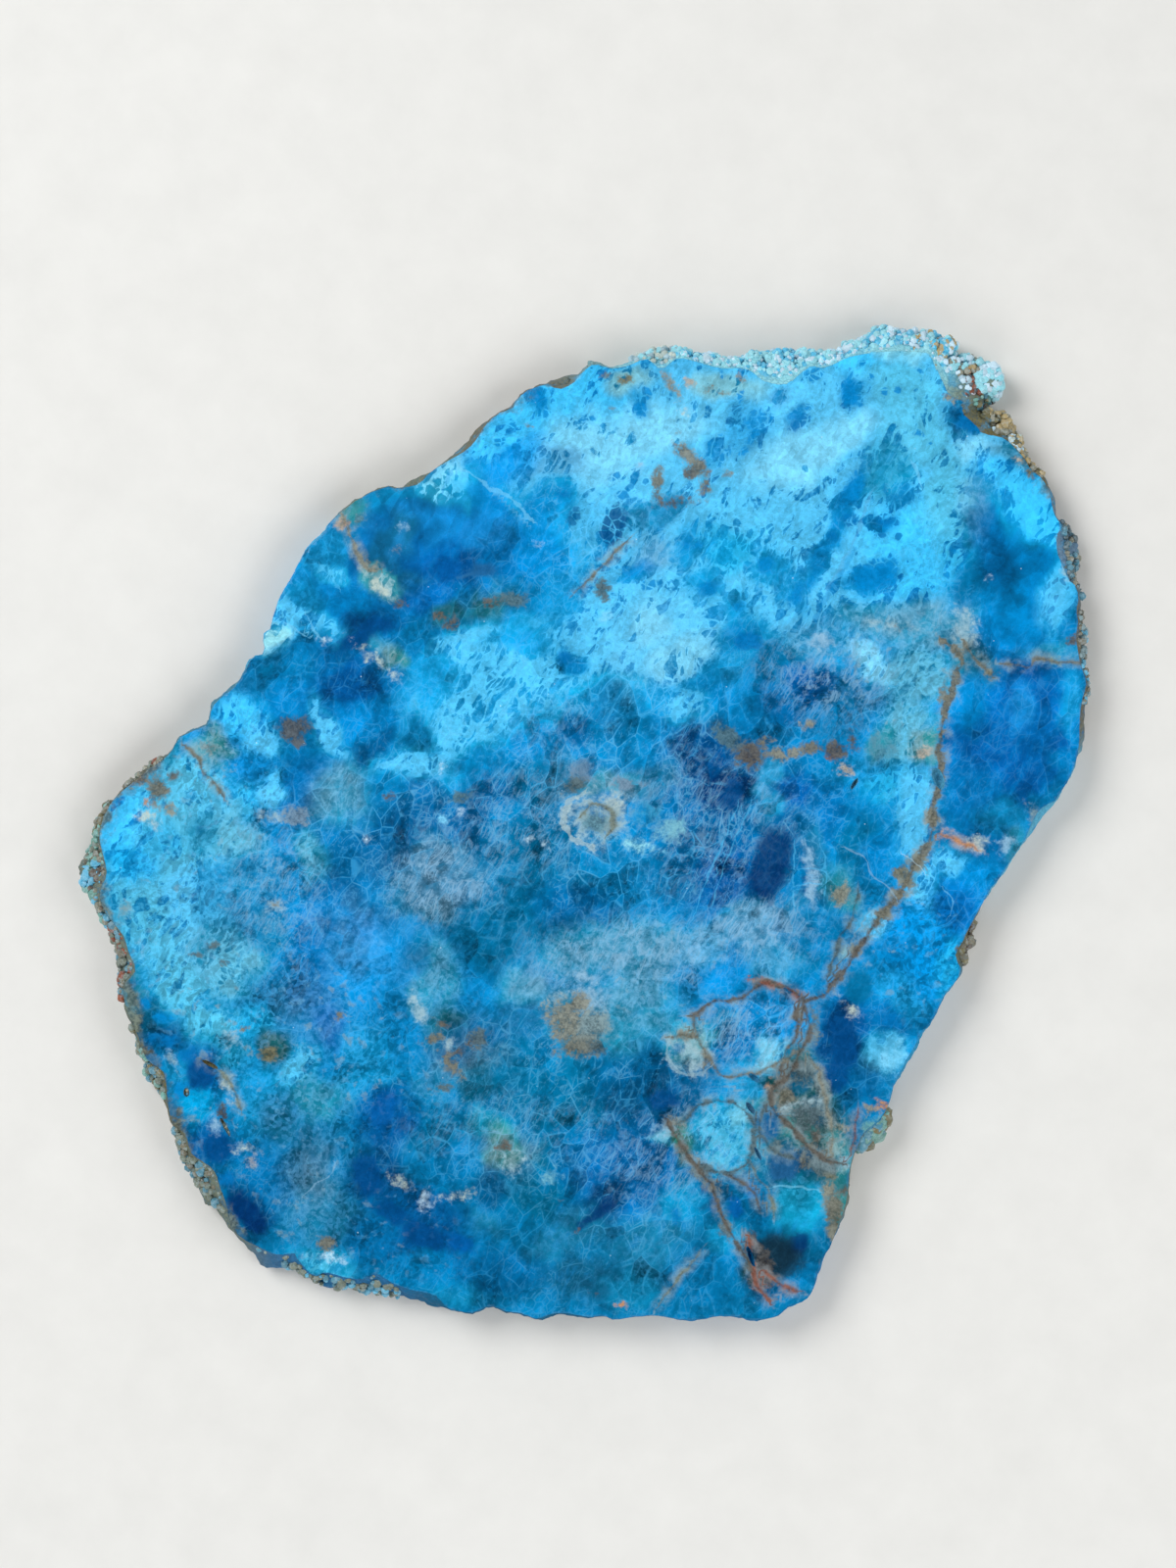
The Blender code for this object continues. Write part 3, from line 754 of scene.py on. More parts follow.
        (-35, -60, 5, 5, 0, "navy"),
        (-28, -68.6, 9, 6.4, -10, "royal"),
        (-26, -76.4, 7, 3, -10, "azure"),
        (-36, -70, 4, 6, -20, "azureDeep"),
        (-15.4, -63, 2.6, 3.6, 0, "tealNavy"),
        (-17, -68, 2.4, 2.4, 0, "slateSky"),
        (-23, -58, 6, 3, 0, "azure"),
        # lower right
        (36, -48, 8, 13, 0, "greyTeal"),
        (39, -52, 6, 9, 0, "brownGrey"),
        (34, -43, 4, 4, 0, "brownTeal"),
        (28, -35, 9, 6, 10, "azure"),
        (36, -33, 3, 3.4, 0, "vivid"),
        (23.4, -35, 2.6, 3, 0, "lilac"),
        (31, -38.4, 4, 2, 20, "skyPale"),
        (26, -37.6, 3, 2.2, 0, "azureDeep"),
        (17.6, -38, 4, 4, 0, "greyCyan"),
        (45, -37, 5, 7, 0, "royal"),
        (43.4, -36, 3, 5, 0, "navy"),
        (43, -43, 2.6, 3.4, 0, "navy"),
        (47.4, -45, 4, 3.4, 0, "azureDeep"),
        (52, -33, 3.4, 3, 0, "azureDeep"),
        (51.6, -39, 4, 3.6, -30, "sky"),
        (36.6, -40.6, 2.6, 3, 0, "brownGrey"),
        (36.4, -44, 4, 2.8, 0, "tealDark"),
        (33, -44.4, 2, 3, 0, "brownGrey"),
        (14, -52, 2.6, 1.8, 0, "skyPale"),
        (17, -53.4, 1.8, 3.4, 0, "tan"),
        (24, -53.2, 5, 5.6, 0, "sky"),
        (24, -57, 3.4, 2.2, 0, "sky"),
        (27.6, -49.6, 2, 2.4, 0, "skyPale"),
        (28, -44, 3.4, 2.4, -20, "skyAzure"),
        (32, -51.6, 2.6, 3.4, 0, "tealNavy"),
        (40, -50, 2.4, 2.6, 0, "tealDark"),
        (35.4, -58.4, 4, 3.4, 0, "slateDark"),
        (37, -53.6, 2.6, 2.6, 0, "greyTan"),
        (42.6, -56.6, 2.4, 3, 0, "creamGrey"),
        (28, -64, 4.4, 4.6, 0, "azure"),
        (22.6, -64, 1.8, 3, 0, "slateDark"),
        (36.6, -65, 4.2, 4.2, 0, "skyBright"),
        (43, -65, 2.6, 5.4, 0, "greyTan"),
        (33.4, -73.6, 6, 4.6, 0, "nightBlue"),
        (38, -76, 2.6, 3, 0, "azure"),
        (32, -80.4, 4, 2, 0, "tealNavy"),
        (29, -77.6, 1.8, 3, 0, "darkBrown"),
    ],
    # change of the milky web's cover, which else follows the soft colour: ..., change
    "milk": [
        (25, 68, 40, 9, 5, 0.16),
        (57, 47, 8, 9, 0, 0.2),
        (40, 60, 12, 6, 35, 0.12),
        (-16, 22, 17, 11, 50, -0.2),
        (26, 44, 12, 9, 30, -0.14),
        (-27, 50, 16, 9, 22, -0.3),
        (-41, 38, 8, 7, 0, -0.2),
        (72, 12, 11, 17, 0, -0.25),
        (75, 45, 9, 14, 0, -0.2),
        (-40, -22, 8, 12, 10, -0.15),
        (-28, -68, 12, 8, -15, -0.25),
        (36.4, -65, 5, 5, 0, -0.4),
        (44, -38, 5, 8, 0, -0.2),
        (-5, -46, 16, 7, 0, -0.3),
        (-20, -45, 7, 5, 0, -0.2),
        (-9, -35, 4, 4, 0, -0.2),
        (4, 19, 8, 7, 0, -0.3),
        (-7, 6, 5, 4, 0, -0.2),
    ],
    # soft pale cloud: ..., colour, amount
    "haze": [
        (25, 64, 44, 10, 5, "skyPale", 0.3),
        (12, 31, 12, 7, 45, "skyPale", 0.6),
        (-68, -10, 8, 20, 8, "cyanPale", 0.5),
        (-59, -12, 8, 16, 0, "cyanPale", 0.5),
        (-24, -10, 8, 7, 20, "greyWhite", 0.75),
        (-42, 5, 5, 6, 0, "creamGrey", 0.5),
        (4, 6, 9, 3, 0, "greyWhite", 0.6),
        (8, -22, 14, 5, 0, "greyWhite", 0.6),
        (30, -18, 8, 4, 10, "greyWhite", 0.8),
        (10, -31, 6, 6, 0, "greyWhite", 0.4),
        (-8, -27, 5, 4, 0, "greyWhite", 0.7),
        (-27, -24, 6, 6, 0, "mauve", 0.4),
        (-39, -19, 6, 9, 10, "greyWhite", 0.45),
        (-46, -33, 8, 7, 0, "greyWhite", 0.4),
        (-19, -40, 8, 5, 0, "greyTan", 0.5),
        (11, 45, 4, 4, 30, "greyWhite", 0.6),
        (41, 30, 6, 3, 0, "greyWhite", 0.35),
        (55, 24, 6, 8, 0, "cyanPale", 0.5),
        (55, 34, 9, 3, 0, "creamGrey", 0.6),
        (64, 33, 4, 5, 0, "greyWhite", 0.6),
        (67, 54, 3, 6, 20, "greyWhite", 0.6),
        (81, 38, 3, 6, 0, "skyPale", 0.7),
        (-46, -60, 5, 8, -20, "greyWhite", 0.5),
        (-12, -57, 5, 5, 0, "creamGrey", 0.5),
        (-62, 24, 6, 5, 45, "cyanPale", 0.4),
        (36, -50, 8, 12, 0, "creamGrey", 0.3),
        (52, -40, 4, 4, -30, "skyPale", 0.6),
    ],
    # fine pale threads: ..., amount
    "thread": [
        (-24, -10, 8, 7, 20, 1.0),
        (-10, 0, 16, 8, 0, 0.5),
        (8, -22, 16, 6, 0, 0.8),
        (30, -18, 9, 5, 10, 1.0),
        (42, 25, 10, 7, 0, 0.8),
        (-10, -52, 20, 5, 0, 0.3),
        (15, -55, 12, 8, 30, 0.6),
        (22, 0, 12, 14, 60, 0.5),
        (-4, 14, 8, 6, 0, 0.3),
        (-52, -12, 8, 14, 10, 0.6),
        (28, -35, 8, 6, 0, 0.8),
    ],
    # small grains: ..., level
    "grit": [
        (-62, -8, 14, 26, 0, 0.8),
        (56, -20, 9, 12, 0, 0.8),
        (52, 22, 12, 12, 0, 0.8),
        (-30, -38, 22, 14, 0, 0.6),
        (-52, -40, 18, 22, 30, 0.85),
        (-40, -66, 22, 9, -25, 0.7),
        (10, -60, 14, 10, 0, 0.2),
        (36, -48, 9, 14, 0, 0.6),
        (-28, 50, 15, 9, 22, 0.0),
        (73, 12, 11, 17, 0, 0.15),
        (76, 45, 8, 14, 0, 0.1),
        (10, -24, 18, 10, 0, 0.7),
    ],
    # thin pale lines: ..., level
    "net": [
        (0, 51, 9, 8, 50, 1.0),
        (0, 16, 20, 12, 0, 1.0),
        (16, 0, 26, 18, 0, 1.0),
        (-20, -2, 24, 12, 0, 0.9),
        (-50, -10, 12, 14, 0, 0.8),
        (-5, -48, 26, 14, 0, 0.8),
        (12, -62, 12, 10, 0, 0.8),
        (-28, 50, 16, 9, 22, 0.05),
        (-40, 36, 9, 6, 0, 0.1),
        (74, 12, 10, 17, 0, 0.25),
        (76, 45, 7, 14, 0, 0.0),
        (-28, -68, 14, 8, -20, 0.1),
        (36.4, -65, 5, 5, 0, 0.0),
        (28, -36, 9, 7, 0, 1.0),
        (24, -53, 6, 6, 0, 1.0),
        (55, 20, 8, 8, 0, 0.9),
    ],
    # clear dark cells: ..., colour
    "cell": [
        (0.9, 68.8, 1.0, 0.6, 0, "azure"), (9.9, 70.4, 1.2, 1.2, 0, "azure"), (11.2, 72.9, 0.7, 1.0, 0, "azure"),
        (7.7, 70.2, 0.5, 0.5, 0, "azure"), (1.4, 72, 0.6, 0.4, 0, "azure"), (24, 76.1, 0.6, 0.8, 0, "azure"),
        (26.9, 72.5, 0.5, 1.0, 0, "azure"), (28.7, 68.6, 0.7, 1.9, -30, "azure"), (30.9, 69, 0.6, 1.4, -30, "azure"),
        (29, 65.7, 0.7, 1.9, -30, "azure"), (32.3, 68.6, 0.5, 0.8, -30, "azure"), (27.6, 63.6, 0.6, 1.2, -30, "azure"),
        (24.2, 62.5, 0.6, 1.8, -20, "azure"), (22.9, 64.8, 0.5, 1.0, -20, "azure"), (36.6, 68, 0.9, 2.4, -48, "azureDeep"),
        (39.4, 76.2, 1.6, 1.2, 0, "azure"), (38.4, 70.9, 0.7, 0.5, 0, "azure"), (45.6, 73.2, 1.5, 2.4, 0, "azure"),
        (47.4, 71.1, 0.8, 0.6, 0, "azure"), (51.3, 73.1, 0.6, 0.9, 0, "azure"), (53.8, 73.7, 0.8, 0.8, 0, "azure"),
        (47.5, 78.2, 0.6, 0.6, 0, "azure"), (49.2, 76, 0.5, 0.5, 0, "azure"), (57.5, 76.7, 0.6, 0.5, 0, "azure"),
        (57.2, 66.4, 0.9, 0.5, 0, "azure"), (59, 64.6, 0.6, 0.5, 0, "azure"), (46.2, 56.7, 1.8, 3.2, -25, "azure"),
        (45, 51.5, 1.8, 1.3, 0, "azureDeep"), (43, 48.8, 1.0, 0.8, 0, "azureDeep"), (51.5, 51.5, 2.4, 1.1, 5, "azureDeep"),
        (50.8, 49, 1.3, 0.8, 0, "azureDeep"), (53.8, 48.5, 0.7, 0.7, 0, "azureDeep"), (54, 55.2, 2.4, 0.9, 0, "tealAzure"),
        (51.5, 56.8, 0.6, 1.4, 0, "tealAzure"), (49.8, 42.4, 4.0, 2.4, 15, "azure"), (61.8, 42.3, 0.8, 0.6, 0, "azure"),
        (63.3, 46.5, 0.7, 0.6, 0, "azure"), (66, 68.5, 2.6, 2.0, -30, "azureDeep"), (17.8, 47.5, 0.9, 1.4, -30, "azure"),
        (19.8, 47.2, 0.8, 1.2, -30, "azure"), (31.3, 44, 1.6, 1.4, 0, "azure"), (21.5, 40, 2.1, 1.5, 20, "azure"),
        (36.3, 38.8, 1.1, 2.4, -35, "azure"), (26.4, 37, 1.2, 0.9, 0, "azure"), (28.2, 31, 2.8, 1.8, 0, "azureDeep"),
        (5.4, 50.5, 2.0, 3.4, -25, "navy"), (-1.6, 52, 1.0, 1.6, -25, "tealNavy"), (5.5, 59, 1.0, 0.7, 0, "azure"),
        (6.9, 55.9, 1.0, 0.7, 0, "azure"), (-3.4, 56, 1.2, 0.8, 0, "azureDeep"), (-14, 64.7, 0.9, 0.7, 0, "azure"),
        (-11.8, 67.6, 0.8, 0.6, 0, "azure"), (-19.4, 61.5, 0.9, 0.7, 0, "azure"), (-7.1, 73, 0.8, 1.6, 0, "azure"),
        (-6.1, 70, 0.7, 1.3, 0, "azure"), (-2.6, 28, 1.3, 1.2, 0, "azureDeep"), (8, 43, 1.4, 0.8, 0, "azure"),
        (11.6, 40.6, 1.4, 0.8, 20, "azure"), (-22.6, 43, 2.6, 2.0, 0, "royal"), (-17, 43, 2.6, 1.4, 0, "slateDark"),
        (-38.6, 31, 5.0, 1.3, 28, "navy"), (-35, 33.6, 3.0, 1.5, 10, "navy"), (-41, 29, 2.0, 0.8, 20, "tealNavy"),
        (-53.5, 26, 1.4, 1.0, 0, "teal"), (-64.9, 3.9, 1.0, 0.9, 0, "teal"), (-64.9, -1.2, 0.9, 0.8, 0, "teal"),
        (65, 40.5, 0.8, 2.8, -20, "teal"), (81.8, 13.8, 1.0, 1.0, 0, "royal"), (80, 8.5, 0.8, 0.8, 0, "royal"),
        (31.9, -7, 3.5, 6.6, -17, "navyDeep"), (25.6, 5, 2.0, 3.2, -30, "navy"), (37.7, -6.7, 0.8, 0.6, 0, "navy"),
        (37.6, -9.1, 0.8, 0.6, 0, "navy"), (37.6, -11.3, 0.8, 0.6, 0, "navy"), (-70.3, -37.2, 1.6, 1.1, 0, "azureDeep"),
        (-73, -36.6, 1.4, 1.1, 0, "azureDeep"), (44.5, -37, 2.4, 5.4, 5, "navy"), (43.5, -43, 2.0, 3.0, 0, "navy"),
        (47, -28, 2.4, 3.2, 0, "teal"), (36, -43.5, 3.2, 2.2, 0, "tealDark"), (32, -51.5, 1.6, 2.4, 0, "tealNavy"),
        (40, -50, 1.6, 2.0, 0, "tealDark"), (34.5, -58, 3.0, 2.6, 0, "slateDark"), (26, -65.4, 1.4, 2.0, 0, "royal"),
        (29, -62.4, 1.2, 1.6, 0, "azureDeep"), (33.4, -73.6, 4.8, 3.8, 0, "nightBlue"), (37, -71.5, 1.6, 2.0, 0, "navyDeep"),
        (14, -47, 2.8, 1.8, 20, "navy"), (2.4, -66.4, 5.0, 1.1, 38, "navyDeep"), (22.5, -65, 0.9, 1.6, 0, "navy"),
        (21, -62, 0.7, 1.2, 0, "navy"), (16, -67, 0.8, 1.8, 20, "azureDeep"), (-57, -66, 2.0, 5.0, 40, "navyDeep"),
        (-62, -55, 2.4, 2.6, 0, "navy"), (-65, -42.6, 2.4, 3.0, 0, "navy"), (-36.6, -60, 2.4, 3.8, 20, "navy"),
        (-32.6, -66, 3.4, 2.0, -30, "navy"), (-27, -70, 4.0, 2.2, -20, "navy"), (-20.6, -71.4, 2.8, 1.6, -20, "royal"),
        (-76.6, -27.6, 1.3, 1.1, 0, "tealAzure"), (-74.4, -30.6, 1.1, 1.0, 0, "azure"), (-71.6, -33, 1.5, 1.2, 0, "azure"),
        (-67.4, -39.4, 1.6, 1.4, 0, "azureDeep"), (-68.4, -45.6, 1.2, 1.4, 0, "azure"), (-60.4, -60.4, 1.4, 1.4, 0, "azureDeep"),
        (16.2, -38.6, 1.1, 1.4, -30, "tealAzure"), (-33.6, -48.6, 2.0, 3.6, -20, "royal"), (52.4, -33.6, 1.6, 1.4, 0, "azureDeep"),
    ],
    # pale spots: ..., colour
    "spot": [
        (-34.2, 39.8, 3.4, 1.0, -45, "cream"), (-35.8, 28.3, 3.0, 0.8, -38, "cream"), (-31.6, 25, 1.4, 0.6, -55, "cream"),
        (-53.4, 31.4, 1.6, 1.3, 0, "cyanWhite"), (-44.1, 31, 0.7, 0.5, 0, "white"), (-30.6, 50.4, 0.9, 0.7, 0, "greyWhite"),
        (-7.7, 47.6, 0.6, 0.5, 0, "white"), (17.8, 70.2, 0.9, 0.7, 0, "cream"), (9.5, 60.3, 1.2, 0.8, 0, "greyWhite"),
        (74.2, 65.6, 1.2, 0.9, 0, "cream"), (82.4, 43.5, 0.7, 1.4, 0, "creamGrey"), (69, 41.6, 0.5, 0.5, 0, "white"),
        (52.6, 33.6, 4.2, 0.8, -12, "creamGrey"), (2.6, 1.2, 5.6, 4.4, 0, "creamGrey"), (5.4, 3.6, 3.2, 2.0, -20, "cream"), (10.8, 1.4, 3.6, 2.2, 0, "tealSky"),
        (14.6, -1, 2.6, 2.2, 0, "greyCyan"), (8.4, -3.4, 4.0, 0.9, -15, "cyanWhite"), (0.4, 9, 2.6, 2.2, 30, "mauve"),
        (0.6, -30.6, 4.2, 3.4, 20, "greyWhite"), (-4, -29.6, 2.0, 1.6, 30, "creamGrey"), (0.4, -26.4, 1.6, 1.1, 0, "greyWhite"), (3.6, -34.4, 2.2, 3.0, 0, "greyTan"),
        # the tiny white dots near (-8.6, -2.4), (-6.9, -3.6), (-5.5, -4.1), (-23.4, 0.8), (-20.6, 1.9), (-36.6, -2.6)
        # and (-24, 9.6) are partly pale bubbles, partly painted glints
        (-52, -13.7, 1.9, 1.7, 0, "creamGrey"), (-8.6, -2.4, 0.5, 0.4, 0, "white"),
        (-6.9, -3.6, 0.5, 0.4, 0, "white"), (-5.5, -4.1, 0.45, 0.45, 0, "white"), (-23.4, 0.8, 1.0, 0.8, 0, "skyPale"),
        (-20.6, 1.9, 0.6, 0.5, 0, "white"), (-36.6, -2.6, 0.5, 0.5, 0, "white"), (-24, 9.6, 0.5, 0.5, 0, "white"),
        (-28, -31.4, 1.2, 2.6, 20, "creamGrey"), (-22.6, -37.4, 1.0, 1.6, 0, "creamGrey"), (-53.4, 1.1, 1.8, 1.2, 0, "creamGrey"), (-74.4, 1.1, 1.6, 0.9, -30, "cream"),
        (-72.8, -0.5, 1.2, 0.8, 0, "creamGrey"), (-59.7, -36.5, 1.8, 1.2, 0, "creamGrey"), (-75.6, -33.4, 0.9, 1.3, 20, "greyTan"),
        (-70, -40.4, 0.7, 1.4, 30, "creamGrey"), (-66.6, -50.4, 1.3, 0.9, 0, "greyTan"), (-62.6, -51.4, 1.0, 1.4, 0, "greyWhite"),
        (-77.6, -15, 1.0, 1.8, 10, "greyTan"), (-74.6, -21.4, 0.9, 1.3, 0, "greyWhite"), (-50.6, -70.4, 1.4, 0.9, -30, "greyTan"), (-60, -45.7, 0.9, 2.2, 20, "cream"),
        (-58.2, -55, 1.5, 1.0, 0, "cream"), (-56.3, -57.4, 1.0, 0.7, 0, "pink"), (-30.7, -61, 1.8, 0.8, -35, "cream"),
        (-26.7, -64.2, 1.1, 1.5, 0, "white"), (-21.5, -63.2, 2.4, 0.7, 5, "cream"), (-43.6, -73.8, 2.0, 0.7, -10, "white"),
        (53, -40, 2.2, 2.4, -30, "skyPale"), (45.5, -31.5, 3.0, 0.7, -42, "cream"), (49.3, -52.5, 1.9, 2.4, 0, "greenChip"),
        (42.6, -65.5, 2.0, 4.2, 8, "greyTan"), (44, -57.5, 1.5, 1.5, 0, "greyWhite"), (48.7, -19, 0.9, 0.6, 0, "greyWhite"),
        (44.2, -22.5, 1.1, 1.1, 0, "greyCyan"), (18, -39.4, 3.4, 3.2, 0, "creamGrey"), (34, -48.7, 1.0, 0.7, 0, "cream"),
        (67.8, -3.6, 2.0, 1.2, 0, "cream"), (77.5, 0, 1.0, 3.0, 20, "greyTan"), (72, -4, 1.0, 2.4, -25, "greyWhite"),
        (80.5, 27.5, 1.4, 0.8, 0, "greenChip"), (14.3, -52.5, 1.8, 0.9, 0, "greyWhite"), (39, -9, 1.2, 5.0, 8, "greyWhite"),
        (51, 13.5, 2.6, 2.6, 0, "greyTeal"), (65, 33, 2.4, 3.4, 30, "creamGrey"), (-12, -57.4, 1.8, 2.2, 0, "creamGrey"),
        (-5, -60, 1.4, 1.4, 0, "greyCyan"), (41, 31, 2.6, 1.4, 0, "greyWhite"), (4.2, 35.1, 1.2, 0.7, 0, "skyPale"),
    ],
    # brown, tan and rust: ..., colour
    "stain": [
        (-49, 16, 2.7, 2.5, 10, "darkGrey"), (-40.4, 51, 0.9, 0.8, 0, "orange"), (-38, 51.6, 1.3, 1.1, 0, "greyTeal"),
        (-31.2, 37.1, 1.2, 0.8, 0, "brown"), (-15.3, 37.3, 2.0, 0.8, 10, "brown"), (-23.9, 35.4, 1.4, 0.7, 0, "brown"),
        (-22.6, 33.8, 1.2, 0.6, 0, "brown"), (-11.6, 38, 2.0, 1.2, 0, "brownTeal"), (-36, 44, 1.6, 0.8, -40, "tanDark"),
        (-31.5, 46.5, 0.9, 0.8, 0, "mauve"), (7.5, 75.5, 1.2, 0.9, 0, "olive"), (5.2, 70.8, 0.5, 0.5, 0, "tanDark"),
        (4.2, 76.2, 0.8, 0.6, 0, "tanDark"), (-9.2, 67.6, 0.6, 0.5, 0, "tanDark"), (15, 74.4, 0.7, 2.8, 30, "tan"),
        (18, 75, 0.8, 0.7, 0, "pink"), (21.6, 73.9, 0.9, 0.5, 0, "tanDark"), (23.8, 73.4, 0.8, 0.5, 0, "tanDark"),
        (26.9, 75.9, 0.9, 0.6, 0, "tan"), (33, 76.3, 1.2, 0.7, 0, "pink"), (17.3, 63.2, 2.4, 1.5, -30, "tan"), (19.8, 60.6, 2.0, 1.5, -60, "tanDark"), (12.8, 58, 0.8, 2.0, 10, "tanDark"),
        (18.6, 59.7, 1.2, 1.1, 0, "brown"), (12.9, 59.9, 0.8, 0.8, 0, "tanDark"), (21.2, 57.5, 0.9, 1.5, 10, "tanDark"),
        (12.7, 55.6, 0.7, 0.7, 0, "brown"), (15.6, 54.4, 3.2, 0.8, 8, "brown"), (16.8, 66.6, 0.5, 0.5, 0, "tanDark"),
        (24.3, 59.3, 0.6, 0.5, 0, "tanDark"), (20.2, 61.4, 1.2, 0.7, -30, "tan"), (3.6, 39.8, 1.3, 2.0, 10, "brownGrey"),
        (62.7, 72.7, 1.1, 0.9, 0, "tan"), (64.5, 73, 0.9, 0.8, 0, "brown"), (66.8, 77, 1.5, 1.0, -30, "gold"),
        (69, 71.4, 2.4, 1.4, -40, "olive"), (67.6, 74.6, 2.2, 0.8, -40, "gold"), (71, 68.2, 2.6, 1.0, -45, "gold"),
        (74, 61.8, 1.0, 0.6, 0, "pink"), (76.5, 59.5, 0.8, 1.3, 30, "olive"), (82.5, 48, 1.4, 1.6, 0, "brownGrey"),
        (83.5, 47.6, 0.6, 0.5, 0, "orange"), (83.2, 31, 0.9, 1.0, 0, "brown"), (69.5, 25.5, 1.5, 0.9, 0, "olive"),
        (54.1, 33.3, 0.5, 0.4, 0, "brown"), (28.4, 11.6, 2.8, 2.2, -20, "brown"), (25, 14.6, 3.0, 1.8, -35, "brownTeal"), (61.6, 22, 0.8, 2.4, 0, "tanDark"),
        (61, 15, 1.0, 2.0, 0, "tan"), (59.4, 1, 1.1, 1.6, 0, "tan"), (57, -6.6, 1.7, 1.4, -50, "olive"),
        (54, -12, 1.2, 1.6, 30, "tanDark"), (51.6, -15.6, 1.0, 1.2, 0, "brown"), (33, 11.6, 2.2, 1.1, 0, "tan"),
        (30.6, 13.8, 1.4, 0.8, 0, "tanDark"), (43, 12.4, 2.4, 1.6, 0, "brown"), (39, 12.8, 1.8, 1.3, 0, "tanDark"), (42.1, 11.2, 0.6, 0.5, 0, "rust"),
        (46.1, 14.2, 1.0, 1.7, 0, "brown"), (38.7, 16.6, 1.1, 0.7, 0, "tan"), (36, 11.9, 1.8, 1.1, 0, "tan"),
        (45, 9, 1.4, 0.8, 0, "pink"), (58, 12, 1.2, 0.8, 0, "pink"), (60.8, 7.8, 0.7, 1.8, 0, "darkBrown"),
        (7.7, 6.7, 2.0, 0.9, 0, "mauve"), (-2.6, -34, 3.4, 4.6, 10, "tan"), (-0.6, -37.6, 3.8, 2.2, 20, "tanDark"), (-1.2, -30.6, 2.2, 1.6, 30, "tan"),
        (1.2, -34.6, 2.6, 3.0, -20, "greyTan"), (2.6, -38, 1.8, 1.4, 0, "brownGrey"), (2.6, 0.2, 2.4, 1.8, 0, "greyTeal"),
        (2.8, 0.4, 1.3, 0.9, 0, "greyTan"), (-1, 6.4, 2.0, 1.4, 20, "brownGrey"), (37, -42, 3.4, 2.4, 0, "brownGrey"), (38.4, -50, 3.6, 3.4, 0, "brownGrey"),
        (41, -58, 2.8, 2.6, 0, "brownGrey"), (43, -66.5, 1.6, 4.6, 0, "tanDark"), (34.6, -47, 2.2, 2.6, 0, "tanDark"),
        (20.4, -59.6, 2.4, 1.4, -40, "brownGrey"), (24.6, -69, 1.4, 2.4, 20, "brownGrey"),
        (-53.2, -39.3, 1.9, 1.5, 0, "olive"), (-57.6, -35, 0.8, 0.5, 0, "tanDark"), (-63, -21, 0.9, 0.6, 0, "brownGrey"),
        (-65.6, -22.4, 0.8, 0.5, 0, "brownGrey"), (-61, -23.6, 0.8, 0.5, 0, "brownGrey"), (-41.5, -32.8, 0.8, 0.7, 0, "tanDark"),
        (-43.4, -71.3, 1.5, 1.2, 0, "tanDark"), (-23.6, -34, 1.2, 0.7, -30, "brown"), (-21.2, -39, 1.2, 0.7, 0, "brown"),
        (-19.3, -37.7, 0.8, 0.7, 0, "brown"), (-13.2, -55, 1.0, 0.7, 0, "brown"), (-52, -13.7, 0.8, 0.7, 0, "tan"),
        (55, -9, 2.6, 1.6, -50, "olive"), (44, -12, 1.5, 1.9, 0, "tan"), (46.5, -21.5, 1.1, 1.1, 0, "olive"),
        (64.7, -21.5, 1.0, 0.9, 0, "brown"), (66, -19.5, 0.9, 0.9, 0, "olive"), (61.2, -1.8, 1.2, 0.6, 0, "orange"),
        (-72.4, 5.6, 2.0, 2.6, 0, "tanDark"), (-75.2, 7.4, 1.1, 0.9, 0, "rust"), (-69.7, 7.8, 0.9, 0.6, 0, "brown"),
        (-74.2, 3.6, 0.6, 0.9, 0, "orange"), (-70.4, 2.8, 1.3, 0.6, -30, "tan"), (-63.4, 13, 1.3, 1.3, 0, "greyTan"),
        (-48.3, 1.1, 2.2, 1.9, 0, "mauve"), (31.3, -27.2, 2.4, 0.7, -15, "rust"), (36.6, -28.8, 1.2, 0.6, -20, "rust"),
        (36, -39, 1.2, 0.9, 0, "brown"), (33, -45, 1.2, 2.2, -20, "brown"), (32, -44.5, 0.6, 0.8, 0, "orange"),
        (17, -36, 1.6, 1.0, 0, "tan"), (17, -55, 1.0, 2.2, 10, "brown"), (16, -51, 1.6, 0.7, -20, "tanDark"),
        (42, -54.2, 1.0, 0.7, 0, "brown"), (46.3, -54, 0.5, 1.4, 0, "rust"), (51.2, -47.8, 1.5, 0.7, -20, "orange"),
        (44.5, -62.5, 0.8, 0.9, 0, "brown"), (42, -66.5, 0.8, 1.2, 0, "brown"), (42.2, -60, 1.1, 0.9, 0, "olive"),
        (31, -76, 1.8, 4.2, 15, "darkBrown"), (29, -71, 1.1, 1.9, 20, "darkBrown"), (29.5, -79, 1.4, 0.5, -50, "rust"),
        (32.2, -77.8, 1.8, 0.4, -38, "rust"), (-3.6, -64.5, 0.5, 0.4, 0, "brown"), (-0.8, -69.5, 0.5, 0.4, 0, "brown"),
        (2.3, -79.7, 0.5, 0.4, 0, "brown"), (6.7, -82, 0.6, 0.4, 0, "orange"), (-61, -49.4, 0.8, 1.6, 20, "darkBrown"),
        (36.6, -33.4, 0.8, 2.2, 0, "brown"), (39.4, -34, 0.8, 2.6, 10, "brownGrey"), (35.4, -46.6, 1.2, 0.8, 0, "tan"),
        (40.6, -44.6, 1.4, 2.2, 0, "brownGrey"), (37.4, -57.6, 1.2, 1.6, 0, "tanDark"), (39.6, -53, 1.2, 1.8, 0, "brown"),
        (43.6, -52, 1.3, 1.0, 0, "tan"), (42, -62.6, 1.1, 1.4, 0, "tan"), (43.4, -69.6, 1.0, 1.6, 0, "tan"),
        (18.6, -56.6, 1.4, 1.0, -40, "tan"), (22, -61.6, 1.6, 0.8, -40, "tanDark"), (33, -55, 1.4, 1.2, 0, "brownGrey"),
        (-25.6, -37, 2.4, 0.8, 15, "tanDark"), (-22.6, -40.6, 2.6, 0.9, -50, "tanDark"), (-24, -45, 2.0, 0.8, 10, "brownGrey"),
